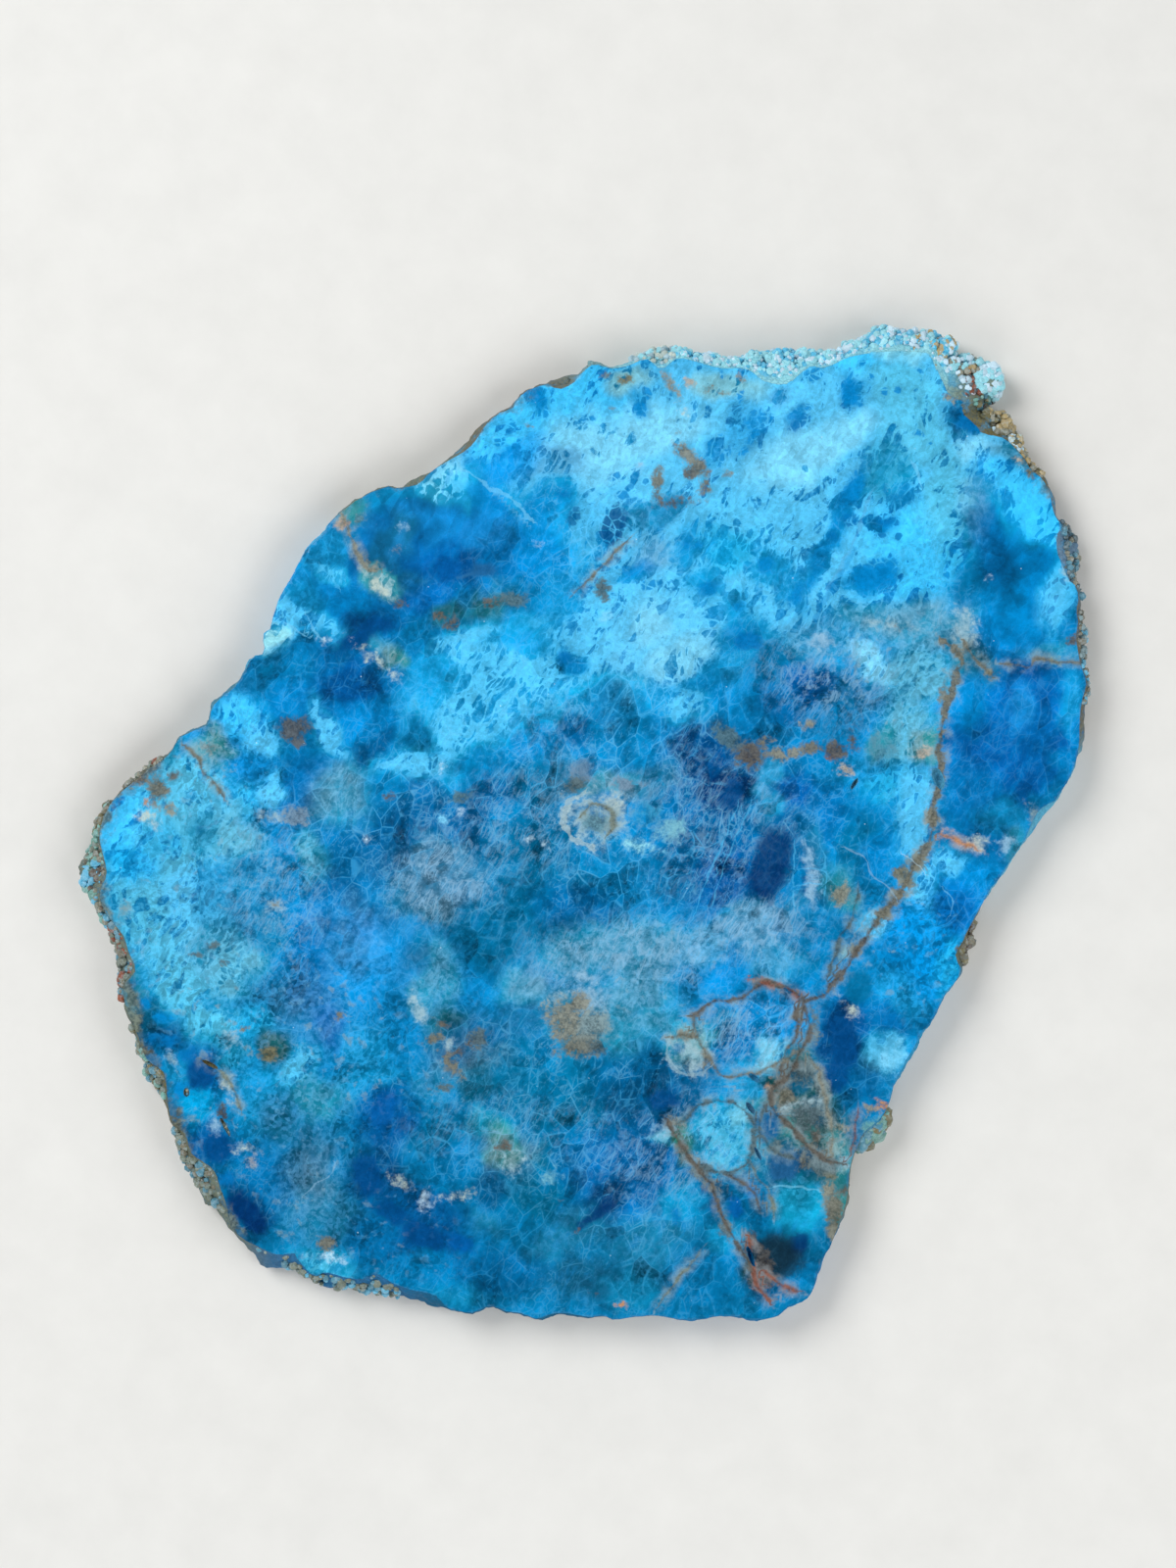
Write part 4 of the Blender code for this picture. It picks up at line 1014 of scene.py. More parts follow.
        (-17.6, -36.6, 2.2, 1.4, 0, "brownGrey"), (-33, 4.6, 0.8, 0.6, 0, "brown"), (-20.6, 4.4, 1.4, 1.0, 0, "brownTeal"),
        (47, -56, 0.8, 1.6, 0, "tan"), (39, -55, 1.4, 1.0, 20, "tanDark"), (49, -48.6, 1.2, 0.8, 0, "tan"),
    ],
    # veins: colour, half width, points
    "vein": [
        ("rust", 0.4, [(30.6, -27.4), (33, -27.4), (35.6, -28.6), (37, -29.6)]),
        ("rust", 0.35, [(28.4, -71), (29, -75), (29.4, -78), (31.6, -81)]),
        ("rust", 0.3, [(31, -76.6), (34, -78.6), (36.6, -79.6)]),
        ("rust", 0.3, [(46.8, -49.4), (46.4, -53), (45.6, -56)]),
        ("brown", 0.3, [(23.6, -59.8), (26.4, -60.6), (29, -62.6), (30, -65)]),
        ("brown", 0.35, [(36, -31.6), (36.4, -36), (34.6, -39), (34, -42)]),
        ("brownGrey", 0.4, [(31, -48), (30, -52), (32.6, -55.6), (36, -57)]),
        ("tanDark", 0.75, [(61.5, 31), (64, 29), (64.5, 27), (63, 24), (62.8, 22), (61.5, 17.5), (61, 14),
                          (60.6, 7.6), (60.2, 4), (59.7, 0), (59, -3), (57.8, -5), (56.5, -7), (55.8, -9),
                          (54.2, -12), (52.5, -14), (51, -15.5), (50, -17)]),
        ("tanDark", 0.4, [(69.5, 25.5), (67, 28), (65, 30.5)]),
        ("brown", 0.5, [(50, -17), (48, -19.6), (46.5, -22), (44.6, -25), (42.6, -27.4), (40.4, -29.6), (37.5, -30.3)]),
        ("brownGrey", 0.4, [(46.8, -12), (46.5, -14), (46, -16), (44.8, -18), (43.8, -20), (43, -23), (42, -26)]),
        ("brown", 0.45, [(19, -32.8), (22.7, -30.3), (27, -29.7), (31.3, -27.2), (36.3, -28.8), (37.5, -30.3),
                         (38.7, -35.9), (36.9, -39)]),
        ("tanDark", 0.4, [(19, -32.8), (19.6, -36.5), (21.5, -40.2), (23.3, -42.7)]),
        ("tanDark", 0.3, [(23.3, -42.7), (26, -43), (30, -42.4), (33.5, -40.6), (36.9, -39)]),
        ("brown", 0.45, [(36.9, -39), (36, -42), (33, -44.5), (32, -47), (33.5, -49.5), (36, -52), (38, -55),
                         (41, -57), (44, -58)]),
        ("brown", 0.45, [(14.6, -51), (17, -55), (19.5, -58.5), (22, -61.5), (23.5, -66), (26, -71), (29, -76)]),
        ("brownGrey", 0.5, [(17.6, -50.5), (20, -48), (24.5, -47.2), (28, -49.4), (29.4, -53), (28.6, -57), (25, -59.6),
                            (20.6, -58.4)]),
        ("oliveGrey", 0.35, [(28.6, -57), (30, -60.5), (32, -62.5), (32.5, -66)]),
        ("tan", 0.3, [(39, -40), (40.5, -43), (41.2, -46), (41.8, -49), (42.5, -52), (42.6, -56)]),
        ("creamGrey", 0.4, [(34, -48.6), (37, -47.6), (40, -47)]),
        ("oliveGrey", 0.25, [(20, -73), (16.5, -77), (13, -82)]),
        ("tan", 0.4, [(-41.5, 53), (-39.5, 49.4), (-37.9, 45.6), (-36.6, 43.3), (-34.7, 43)]),
        ("tanDark", 0.35, [(-67.1, 12.9), (-65.5, 11), (-64.2, 8.7), (-62, 6.2), (-61, 4.6)]),
        ("tanDark", 0.3, [(72, 27), (76, 26.5), (77, 28), (80, 27.5), (85, 27.4)]),
        ("tanDark", 0.3, [(-1.4, 38.8), (3, 43.4), (7.7, 48)]),
        ("orange", 0.25, [(61, -1.6), (64, -3), (67, -4.3)]),
        ("oliveGrey", 0.3, [(-64.6, -40.3), (-61.9, -42), (-60, -44), (-58.2, -48.2)]),
        ("oliveGrey", 0.4, [(0.2, 1.8), (1.6, 3), (3.6, 3), (5.2, 1.8), (5.4, 0), (4.4, -1.8)]),
        ("tanDark", 0.4, [(15.4, -36.4), (18.4, -36), (20.6, -38.4), (20.8, -41)]),
    ],
    # fine lines: colour, half width, points
    "hair": [
        ("skyPale", 0.4, [(-20.1, 60.2), (-15.6, 57), (-12.4, 55.4), (-8.3, 51.3)]),
        ("azureDeep", 0.7, [(-14.6, 54.4), (-11.6, 51.4), (-9.6, 48)]),
        ("azure", 0.5, [(46.5, 46.8), (43, 41), (40, 35.1)]),
        ("lilacSky", 0.3, [(49.9, 57.1), (48.3, 54.5), (46.7, 48.8), (44, 44), (41.6, 39.9)]),
        ("azure", 0.5, [(-22.6, 59.6), (-23.6, 57)]),
        ("greyWhite", 0.12, [(45.1, -4.5), (47, -5.3), (48.5, -7), (49.5, -9), (51, -10.2), (52.7, -11.4), (53.6, -13)]),
        ("white", 0.1, [(55, -5.5), (57, -7), (58, -8.2)]),
        ("greyWhite", 0.16, [(-42.1, -58), (-43, -60), (-45.8, -61.8), (-47, -63.3)]),
        ("skyPale", 0.1, [(61.5, -11), (63, -13), (62.4, -15.4)]),
        ("skyPale", 0.2, [(56.3, 60.9), (57.4, 59.4), (57.6, 57.6)]),
        ("sky", 0.15, [(26.4, 3), (24, -3), (21, -10), (19, -15.5)]),
        ("sky", 0.15, [(29, 4), (26.4, -2), (23.6, -9), (22, -14)]),
        ("skyPale", 0.22, [(-51.8, 34.9), (-46.4, 31.4)]),
        ("skyPale", 0.2, [(-46.7, 35.2), (-44.8, 31.7)]),
        ("sky", 0.4, [(-44.1, 43.5), (-41.6, 40.3)]),
        ("cream", 0.5, [(1.4, -4), (-1.8, -2.4), (-3.2, 0.4), (-2.6, 3), (0, 5)]),
        ("creamGrey", 0.3, [(14.8, -37), (14.6, -40), (16.6, -42.6), (19.6, -42.8), (21.6, -41.4)]),
        ("sky", 0.15, [(36.2, -4), (35.8, -9), (36.2, -14)]),
        ("sky", 0.15, [(40.4, -3), (41.6, -8), (41, -14)]),
        ("sky", 0.12, [(36, -8), (39, -7.6), (41.4, -8.4)]),
        ("sky", 0.12, [(36, -10.4), (39, -10), (41.4, -10.8)]),
        ("skyPale", 0.15, [(31.6, -62), (36, -61.6), (40, -62.6)]),
    ],
    # the natural skin round the edge: x, y, reach, colour, how much of it creeps over the face
    "rind": [
        (-83, -3, 9, "oliveGrey", 0.9),
        (-78, -25, 9, "oliveGrey", 1.0),
        (-66, -45, 10, "olive", 1.0),
        (-60, -62, 10, "oliveGrey", 1.0),
        (-40, -76, 12, "slate", 0.7),
        (-10, -82, 16, "tealDark", 0.3),
        (30, -82, 14, "tealAzure", 0.3),
        (46, -60, 8, "oliveGrey", 0.5),
        (52, -46, 8, "tealSky", 0.25),
        (59, -33, 9, "tealSky", 0.2),
        (66, -20, 5, "olive", 0.5),
        (74, -8, 8, "cyanPale", 0.25),
        (81, 5, 8, "cyanPale", 0.3),
        (85, 25, 10, "tanDark", 0.5),
        (84, 48, 8, "mauve", 0.4),
        (76, 62, 8, "olive", 0.8),
        (69, 72, 6, "olive", 0.8),
        (66, 80, 6, "cyanWhite", 0.3),
        (52, 83, 9, "cyanWhite", 0.2),
        (25, 80, 18, "cyanWhite", 0.3),
        (-10, 70, 12, "tanDark", 0.7),
        (-30, 57, 10, "oliveGrey", 0.6),
        (-50, 38, 10, "sky", 0.25),
        (-62, 20, 10, "greyTeal", 0.4),
        (-76, 8, 7, "tanDark", 0.9),
    ],
}


def driftedPlaces(places, amount, size, seed):
    # places moved about by a noise, so that the listed ovals look grown
    moved = places.copy()
    offset = Vector((seed * 17.3, seed * 5.1, 0))
    for index, (x, y) in enumerate(places):
        slanted = Vector((0.8 * x - 0.6 * y, 0.5 * x + 0.7 * y, 0.3 * x + 0.4 * y))
        shift = noise.noise_vector(slanted / size + offset)
        moved[index] += (shift.x * amount, shift.y * amount)
    return moved


def ovalDistance(places, row, power=2):
    # 0 in the middle of the oval, 1 on its edge; a higher power makes it blockier
    x, y, halfLength, halfWidth, turn = row[:5]
    angle = math.radians(turn)
    dx = places[:, 0] - x
    dy = places[:, 1] - y
    along = dx * math.cos(angle) + dy * math.sin(angle)
    across = dy * math.cos(angle) - dx * math.sin(angle)
    return (np.abs(along / halfLength) ** power + np.abs(across / halfWidth) ** power) ** (1 / power)


def softStep(value, low, high):
    share = np.clip((value - low) / (high - low), 0, 1)
    return share * share * (3 - 2 * share)


def ovalWeight(places, row, edge=0.45):
    return 1 - softStep(ovalDistance(places, row), 1 - edge, 1 + edge)


def paintedGroundAndShade(places):
    colour = np.tile(np.array(stoneColours["base"]), (len(places), 1))
    for row in stoneMap["ground"]:
        weight = (ovalWeight(places, row) * 0.93)[:, None]
        colour = colour * (1 - weight) + np.array(stoneColours[row[5]]) * weight
    # painted shade: the soft colour is darkened towards the stone's lower end, standing in for less light falling there
    # from above
    lowShade = softStep(-places[:, 1], 20, 62)[:, None] * np.array([0.3, 0.2, 0.26, 0])
    return colour * (1 - lowShade)


def paintedLevel(places, rows, start):
    level = np.full(len(places), start)
    for row in rows:
        weight = ovalWeight(places, row)
        level = level * (1 - weight) + row[5] * weight
    return level


def paintedMilk(places, ground):
    # pale stone is milky, dark stone clear
    level = 0.04 + 0.78 * softStep(ground[:, 1], 0.15, 0.5)
    for row in stoneMap["milk"]:
        level += ovalWeight(places, row) * row[5]
    return level


def paintedHaze(places):
    colour = np.tile(np.array(stoneColours["skyPale"]), (len(places), 1))
    amount = np.zeros(len(places))
    for row in stoneMap["haze"]:
        weight = ovalWeight(places, row, 0.6)
        colour = colour * (1 - weight[:, None]) + np.array(stoneColours[row[5]]) * weight[:, None]
        amount = amount * (1 - weight) + row[6] * weight
    return colour, amount


def nearestPatch(places, rows, power, ramp):
    # how far inside the nearest oval a place is, in mm, and the colours of the ovals about it
    inside = np.full(len(places), -2.5)
    total = np.full(len(places), 1e-9)
    colour = np.tile(np.array(stoneColours["base"]), (len(places), 1)) * 1e-9
    for row in rows:
        depth = (1 - ovalDistance(places, row, power)) * min(row[2], row[3], ramp)
        inside = np.maximum(inside, depth)
        weight = np.exp(np.clip(depth, -6, 2) * 3)
        colour += np.array(stoneColours[row[5]]) * weight[:, None]
        total += weight
    return inside, colour / total[:, None]


def smoothPath(points, parts=4):
    # a rounded line through the given points
    ends = [points[0], *points, points[-1]]
    path = []
    for index in range(1, len(ends) - 2):
        before, start, end, after = (np.array(ends[index + step]) for step in (-1, 0, 1, 2))
        for step in range(parts):
            t = step / parts
            path.append(
                0.5
                * (
                    2 * start
                    + (end - before) * t
                    + (2 * before - 5 * start + 4 * end - after) * t**2
                    + (3 * start - before - 3 * end + after) * t**3
                )
            )
    path.append(np.array(points[-1]))
    return path


def nearestLine(places, rows):
    # signed distance to the nearest line, how near it is, its half width and its colour
    nearest = np.full(len(places), 3.0)
    side = np.full(len(places), 3.0)
    width = np.zeros(len(places))
    colour = np.tile(np.array(stoneColours["base"]), (len(places), 1))
    for name, halfWidth, points in rows:
        path = smoothPath(points)
        for start, end in zip(path, path[1:]):
            step = end - start
            length = math.hypot(*step)
            if length < 1e-6:
                continue
            offset = places - start
            share = np.clip((offset @ step) / length**2, 0, 1)
            distance = np.hypot(*(offset - share[:, None] * step).T)
            turned = np.sign(offset[:, 0] * step[1] - offset[:, 1] * step[0])
            nearer = distance < nearest
            nearest[nearer] = distance[nearer]
            side[nearer] = (turned * distance)[nearer]
            width[nearer] = halfWidth
            colour[nearer] = stoneColours[name]
    return side, np.clip(1 - nearest / 3, 0, 1), width, colour


def paintedRind(places):
    total = np.full(len(places), 1e-6)
    creep = np.zeros(len(places))
    colour = np.tile(np.array(stoneColours["greyTeal"]), (len(places), 1)) * 1e-6
    for x, y, reach, name, amount in stoneMap["rind"]:
        weight = np.exp(-((places[:, 0] - x) ** 2 + (places[:, 1] - y) ** 2) / (2 * (reach * 0.6) ** 2))
        colour += np.array(stoneColours[name]) * weight[:, None]
        creep += amount * weight
        total += weight
    return colour / total[:, None], creep / total


def rimNearness(places, heights):
    # 1 at the stone's edge, 0 from 6 mm inwards
    rim = np.nonzero((heights > 1) & (heights < 3))[0]
    tree = KDTree(len(rim))
    for index in rim:
        tree.insert((*places[index], 0), index)
    tree.balance()
    distances = np.array([tree.find((x, y, 0))[2] for x, y in places])
    return np.clip(1 - distances / 6, 0, 1)


def storeColour(mesh, name, values):
    layer = mesh.attributes.new(name, "FLOAT_COLOR", "POINT")
    layer.data.foreach_set("color", np.ascontiguousarray(values, np.float32).ravel())


def storeTriple(mesh, name, *values):
    layer = mesh.attributes.new(name, "FLOAT_VECTOR", "POINT")
    layer.data.foreach_set("vector", np.stack(values, 1).astype(np.float32).ravel())


def mapStone(mesh):
    places = np.zeros(len(mesh.vertices) * 3)
    mesh.vertices.foreach_get("co", places)
    heights = places.reshape(-1, 3)[:, 2] / mm
    places = places.reshape(-1, 3)[:, :2] / mm - np.array(readShift)
    broad = driftedPlaces(driftedPlaces(places, 2.4, 10, 1), 1.3, 3.2, 2)
    broad = driftedPlaces(broad, 0.7, 1.3, 4)
    close = driftedPlaces(places, 0.5, 1.9, 3)
    # the soft colour carries painted shade towards the stone's lower end
    ground = paintedGroundAndShade(broad)
    storeColour(mesh, "ground", ground)
    hazeColour, hazeAmount = paintedHaze(broad)
    storeColour(mesh, "hazeTint", hazeColour)
    thread = np.zeros(len(places))
    for row in stoneMap["thread"]:
        thread = np.maximum(thread, ovalWeight(broad, row, 0.6) * row[5])
    storeTriple(mesh, "veil", paintedMilk(broad, ground), hazeAmount, thread)
    grit = paintedLevel(broad, stoneMap["grit"], 0.3)
    net = paintedLevel(broad, stoneMap["net"], 0.4)
    rind, creep = paintedRind(broad)
    storeColour(mesh, "rind", rind)
    storeTriple(mesh, "weave", grit, net, rimNearness(places, heights) * creep)
    patches = []
    for kind, power, ramp in (("cell", 3, 2.4), ("spot", 2, 1.5), ("stain", 2, 1.6)):
        inside, colour = nearestPatch(close, stoneMap[kind], power, ramp)
        patches.append(inside)
        storeColour(mesh, kind + "Tint", colour)
    storeTriple(mesh, "patch", *patches)
    for kind in ("vein", "hair"):
        side, near, width, colour = nearestLine(close, stoneMap[kind])
        storeTriple(mesh, kind, side, near, width)
        storeColour(mesh, kind + "Tint", colour)


stoneLook = {
    "streakTurn": -61.0,
    "stretch": (0.42, 1.0, 0.8),
    "bigCell": 1.7,
    "smallCell": 0.8,
    "clearStretch": (0.7, 1.0, 0.8),
    "clearCell": 2.9,
    "block": 5.2,
    "grit": 0.62,
    "coat": 0.05,
    "coatRoughness": 0.1,
    "shine": 0.1,
}


def apatiteMaterial():
    look = stoneLook
    colours = stoneColours
    shop = Shop("polishedApatite")
    place = shop.scaled(shop.add("ShaderNodeTexCoord", output="Object"), 1000.0)
    height = shop.parts(place)[2]
    ground = shop.attribute("ground", "Color")
    hazeTint = shop.attribute("hazeTint", "Color")
    milk, haze, thread = shop.parts(shop.attribute("veil"))
    grit, net, creep = shop.parts(shop.attribute("weave"))
    cellIn, spotIn, stainIn = shop.parts(shop.attribute("patch"))

    # places pulled about at three sizes, and drawn out along the stone's grain
    pull = shop.scaled(shop.grainShift(place, 11.0), 5.0)
    pull = shop.vector("ADD", pull, shop.scaled(shop.grainShift(place, 3.0), 1.0))
    ripple = shop.scaled(shop.grainShift(place, 0.8), 0.26)
    pulled = shop.vector("ADD", shop.vector("ADD", place, pull), ripple)
    turned = shop.add(
        "ShaderNodeVectorRotate",
        {"rotation_type": "Z_AXIS"},
        {"Vector": pulled, "Angle": math.radians(look["streakTurn"])},
    )
    flow = shop.vector("MULTIPLY", turned, look["stretch"])
    even = shop.vector("ADD", shop.vector("ADD", place, shop.scaled(pull, 0.6)), ripple)

    broad = shop.grain(flow, 5.5, 5.0, 0.6)
    middle = shop.grain(even, 2.6, 6.0, 0.66)
    close = shop.grain(even, 0.9, 4.0, 0.66)
    sugar = shop.grain(place, 0.24, 2.0, 0.6)
    patchy = shop.grain(even, 7.5, 3.0, 0.5)

    # clear stone, darker and purer than the soft colour, with a tone for each cell that is lighter at its edge
    lightPull = shop.scaled(shop.grainShift(place, 9.0), 3.0)
    plates = shop.add(
        "ShaderNodeVectorRotate",
        {"rotation_type": "Z_AXIS"},
        {"Vector": shop.vector("ADD", place, lightPull), "Angle": math.radians(look["streakTurn"])},
    )
    broadFlow = shop.vector("MULTIPLY", plates, look["clearStretch"])
    clearTone = shop.parts(shop.cells(broadFlow, look["clearCell"], "F1", "Color"))[0]
    clearEdge = shop.cells(broadFlow, look["clearCell"])
    innerEdge = shop.cells(broadFlow, look["clearCell"] * 0.45)
    milky = milk.rises(0.1, 0.85)
    clear = shop.vector("MULTIPLY", ground, shop.blend(milky, (0.15, 0.92, 0.9, 1), (0.05, 0.42, 0.6, 1)))
    tone = 0.8 + (0.2 + 0.6 * net) * (clearTone - 0.45) + 2.0 * (patchy - 0.5) + 0.7 * (middle - 0.5)
    tone = tone + (0.3 * clearEdge.falls(0.0, 0.3) + 0.12 * innerEdge.falls(0.0, 0.2)) * net
    tone = tone + milky * 0.7 * (0.95 - tone)
    colour = shop.scaled(clear, tone)
    gleam = shop.grain(shop.vector("MULTIPLY", plates, (0.35, 1.6, 1.0)), 2.4, 4.0, 0.6)
    glow = (patchy * 0.3 + middle * 0.3 + gleam * 0.4).rises(0.49, 0.62) * (0.5 - 0.4 * haze)
    colour = shop.blend(glow, colour, shop.blend(0.5, ground, colours["vivid"]))

    # milky stone with clear grains showing through
    bigTone = shop.parts(shop.cells(flow, look["bigCell"], "F1", "Color"))[0]
    smallTone = shop.parts(shop.cells(flow, look["smallCell"], "F1", "Color"))[1]
    bigEdge = shop.cells(flow, look["bigCell"])
    smallEdge = shop.cells(flow, look["smallCell"])
    cover = milk + (0.3 + 0.9 * milky) * (1.2 * (broad - 0.5) + 1.2 * (middle - 0.5))
    bigHole = (bigTone - cover).rises(-0.07, 0.05) * (bigEdge - cover * 0.12).rises(0.0, 0.06)
    smallHole = (smallTone - cover * 0.8 - 0.2).rises(-0.06, 0.06) * (smallEdge - cover * 0.12).rises(0.0, 0.08)
    holes = bigHole.most(smallHole * 0.9)
    pale = shop.vector("MULTIPLY", ground, shop.blend(milky, (0.9, 1.2, 1.12, 1), (1.0, 1.03, 1.0, 1)))
    pale = shop.blend(milky * 0.05, pale, colours["skyPale"])
    pale = shop.blend(haze * 0.15, pale, hazeTint)
    pale = shop.scaled(pale, 0.42 + 0.34 * close + 0.4 * middle + 0.32 * patchy + 0.08 * smallTone)
    milkShare = (1 - holes) * cover.rises(0.12, 0.5) * (0.5 + 0.9 * middle).least(0.96)
    colour = shop.blend(milkShare, colour, pale)

    # broken blocks, a little lighter or darker as a whole
    blockTone = shop.parts(shop.cells(even, look["block"], "F1", "Color"))[0]
    innerTone = shop.parts(shop.cells(flow, look["block"] * 0.4, "F1", "Color"))[1]
    colour = shop.scaled(colour, 0.84 + 0.2 * blockTone + 0.12 * innerTone)

    # thin pale lines between clear grains
    clearLine = clearEdge.falls(0.01, 0.04) * (middle * 0.5 + broad * 0.5).rises(0.44, 0.56)
    innerLine = innerEdge.falls(0.02, 0.07) * (close * 0.4 + patchy * 0.6).rises(0.5, 0.58) * 0.7
    bigLine = bigEdge.falls(0.01, 0.07) * middle.rises(0.45, 0.6) * 0.7
    smallLine = smallEdge.falls(0.02, 0.08) * close.rises(0.5, 0.62) * 0.5
    lines = clearLine.most(innerLine).most(bigLine).most(smallLine) * net
    lineTone = shop.blend(0.5, shop.scaled(ground, 1.2), shop.blend(patchy.rises(0.4, 0.6), colours["sky"], colours["skyPale"]))
    colour = shop.blend(lines * 0.75, colour, lineTone)

    # grit: small grains of changing paleness
    gritTone = shop.parts(shop.cells(even, look["grit"], "F1", "Color"))[2]
    gritShare = (gritTone * 0.5 + close * 0.6 - 0.3).rises(0.1, 0.5) * grit
    gritTint = shop.blend(haze * 0.6, shop.scaled(ground, 1.6), hazeTint)
    colour = shop.blend(gritShare * 0.55, colour, gritTint)
    colour = shop.scaled(colour, 1 - grit * 0.4 * milky * (smallTone * 0.6 + close - 0.7).falls(-0.1, 0.12))

    # small pale lumps, some of them tan, in the gritty stone
    lump = shop.grain(even, 1.9, 3.0, 0.5)
    lumpShare = (lump * 0.75 + close * 0.25).rises(0.57, 0.66) * grit.rises(0.35, 0.9)
    lumpTint = shop.blend(patchy.rises(0.46, 0.56), colours["greySky"], colours["greyTan"])
    colour = shop.blend(lumpShare * 0.5, colour, shop.scaled(lumpTint, 0.6 + 0.8 * close))

    # soft clouds, and straight threads along the grain
    cloud = (middle * 0.5 + broad * 0.25 + close * 0.25 + haze * 0.42).rises(0.52, 0.95)
    colour = shop.blend(cloud * haze.rises(0.05, 0.5) * 0.25, colour, shop.scaled(hazeTint, 0.6 + 0.6 * close))
    strands = shop.vector("MULTIPLY", shop.vector("ADD", plates, ripple), (0.2, 1.0, 0.8))
    fibre = shop.cells(strands, 1.3).falls(0.02, 0.09).most(shop.cells(strands, 0.62).falls(0.02, 0.12) * 0.7)
    crossNoise = shop.grain(shop.vector("MULTIPLY", even, (1.0, 1.6, 1.0)), 1.6, 3.0, 0.6)
    cross = (1 - abs(crossNoise - 0.5) * 16).most(0.0)
    threadShare = fibre.most(cross * 0.5) * thread * middle.rises(0.42, 0.54)
    colour = shop.scaled(colour, 1 - 0.2 * thread * broad.falls(0.35, 0.6))
    colour = shop.blend(threadShare * 0.75, colour, shop.blend(0.8, shop.scaled(ground, 1.2), colours["greyWhite"]))

    # dark cells, pale spots and stains
    ragged = (close - 0.5) * 2.8 + (middle - 0.5) * 3.4
    fineEdge = shop.cells(even, 1.7)
    fine = shop.grain(place, 0.4, 3.0, 0.6)
    mottle = (middle * 0.35 + close * 0.35 + fine * 0.3).rises(0.36, 0.62)
    softCell = (cellIn + ragged * 0.5).rises(-0.35, 0.8)
    crispCell = (cellIn + ragged * 0.5).rises(-0.15, 0.2) * (1 - fineEdge.falls(0.03, 0.09) * 0.85)
    cellMask = softCell + milky * (crispCell - softCell)
    cellColour = shop.scaled(shop.attribute("cellTint", "Color"), 0.3 + 0.6 * close + 0.7 * middle)
    colour = shop.blend(cellMask * 0.84, colour, cellColour)
    spotMask = (spotIn + ragged * 1.0).rises(-0.5, 1.0) * (2.4 * middle - 0.5).most(0.06).least(0.9)
    spotTint = shop.attribute("spotTint", "Color")
    spotColour = shop.blend(mottle, shop.blend(0.35, shop.scaled(spotTint, 0.7), colour), spotTint)
    colour = shop.blend(spotMask, colour, spotColour)
    stainMask = (stainIn + ragged * 1.0).rises(-0.4, 0.7) * (0.6 + 0.7 * close).least(0.94)
    stainTint = shop.attribute("stainTint", "Color")
    stainColour = shop.blend(mottle, shop.scaled(stainTint, 0.36), shop.blend(0.1, stainTint, colours["creamGrey"]))
    colour = shop.blend(stainMask, colour, stainColour)

    # veins and fine lines
    for kind, strength, spread, sway in (("vein", 0.92, 0.35, 0.5), ("hair", 0.4, 0.1, 0.2)):
        side, near, half = shop.parts(shop.attribute(kind))
        width = half * (0.3 + 6.0 * (middle - 0.42)).most(0.15)
        line = (abs(side + (close - 0.5) * sway) - width).falls(-spread, spread) * near.rises(0.5, 0.7)
        tint = shop.attribute(kind + "Tint", "Color")
        if kind == "vein":
            halo = (abs(side) - width).falls(0.0, 1.5) * near.rises(0.1, 0.5) * (middle * 2.4 - 0.9).most(0.0)
            colour = shop.blend(halo.least(0.5), colour, shop.blend(0.6, tint, colours["creamGrey"]))
            tint = shop.blend(mottle, shop.scaled(tint, 0.32), shop.blend(0.1, tint, colours["creamGrey"]))
        colour = shop.blend(line * strength, colour, tint)

    # the natural skin creeps over the edge of the face
    rindTint = shop.attribute("rind", "Color")
    creepShare = (creep + (middle - 0.5) * 1.2 + (patchy - 0.5) * 0.8).rises(0.5, 0.85) * creep.rises(0.02, 0.2)
    creepTint = shop.blend(close.rises(0.4, 0.62), shop.scaled(rindTint, 0.4), rindTint)
    creepTint = shop.blend(lump.rises(0.5, 0.6) * 0.6, creepTint, shop.scaled(ground, 0.8))
    colour = shop.blend(creepShare * 0.85, colour, creepTint)

    # tiny white dots: partly the stone's own pale bubbles, partly painted glints
    fleckGlintDistance = shop.cells(place, 2.4, "F1")
    fleckGlint = fleckGlintDistance.falls(0.03, 0.06) * middle.rises(0.52, 0.6)
    colour = shop.blend(fleckGlint * 0.7, colour, colours["white"])
    colour = shop.scaled(colour, 0.7 + 0.36 * sugar + 0.28 * close)

    # natural skin below the polished face
    rindEdge = shop.cells(shop.vector("ADD", place, shop.scaled(pull, 0.3)), 0.9)
    skin = shop.scaled(rindTint, 0.45 + 0.9 * close)
    skin = shop.blend(middle.rises(0.5, 0.68) * 0.6, skin, shop.scaled(ground, 0.8))
    skin = shop.blend(rindEdge.falls(0.0, 0.1) * 0.35, skin, colours["tealDark"])
    top = height.rises(faceHeight - 0.12, faceHeight - 0.08)
    bottom = height.falls(0.08, 0.12)
    sawn = top.most(bottom)
    colour = shop.blend(sawn, skin, colour)

    roughness = 0.62 - 0.36 * top + 0.2 * bottom * close + 0.1 * close + 0.15 * stainMask * top
    relief = close * (1 - top * 0.97) + rindEdge * (1 - sawn) * 1.2 - 0.02 * stainMask * top
    bump = shop.add("ShaderNodeBump", None, {"Strength": 0.7, "Distance": 0.0004, "Height": relief})
    shader = shop.add(
        "ShaderNodeBsdfPrincipled",
        None,
        {
            "Base Color": colour,
            "Roughness": roughness,
            "Specular IOR Level": look["shine"],
            "Coat Weight": top * look["coat"],
            "Coat Roughness": look["coatRoughness"],
            "Normal": bump,
        },
    )
    shop.add("ShaderNodeOutputMaterial", None, {"Surface": shader})
    return shop.material


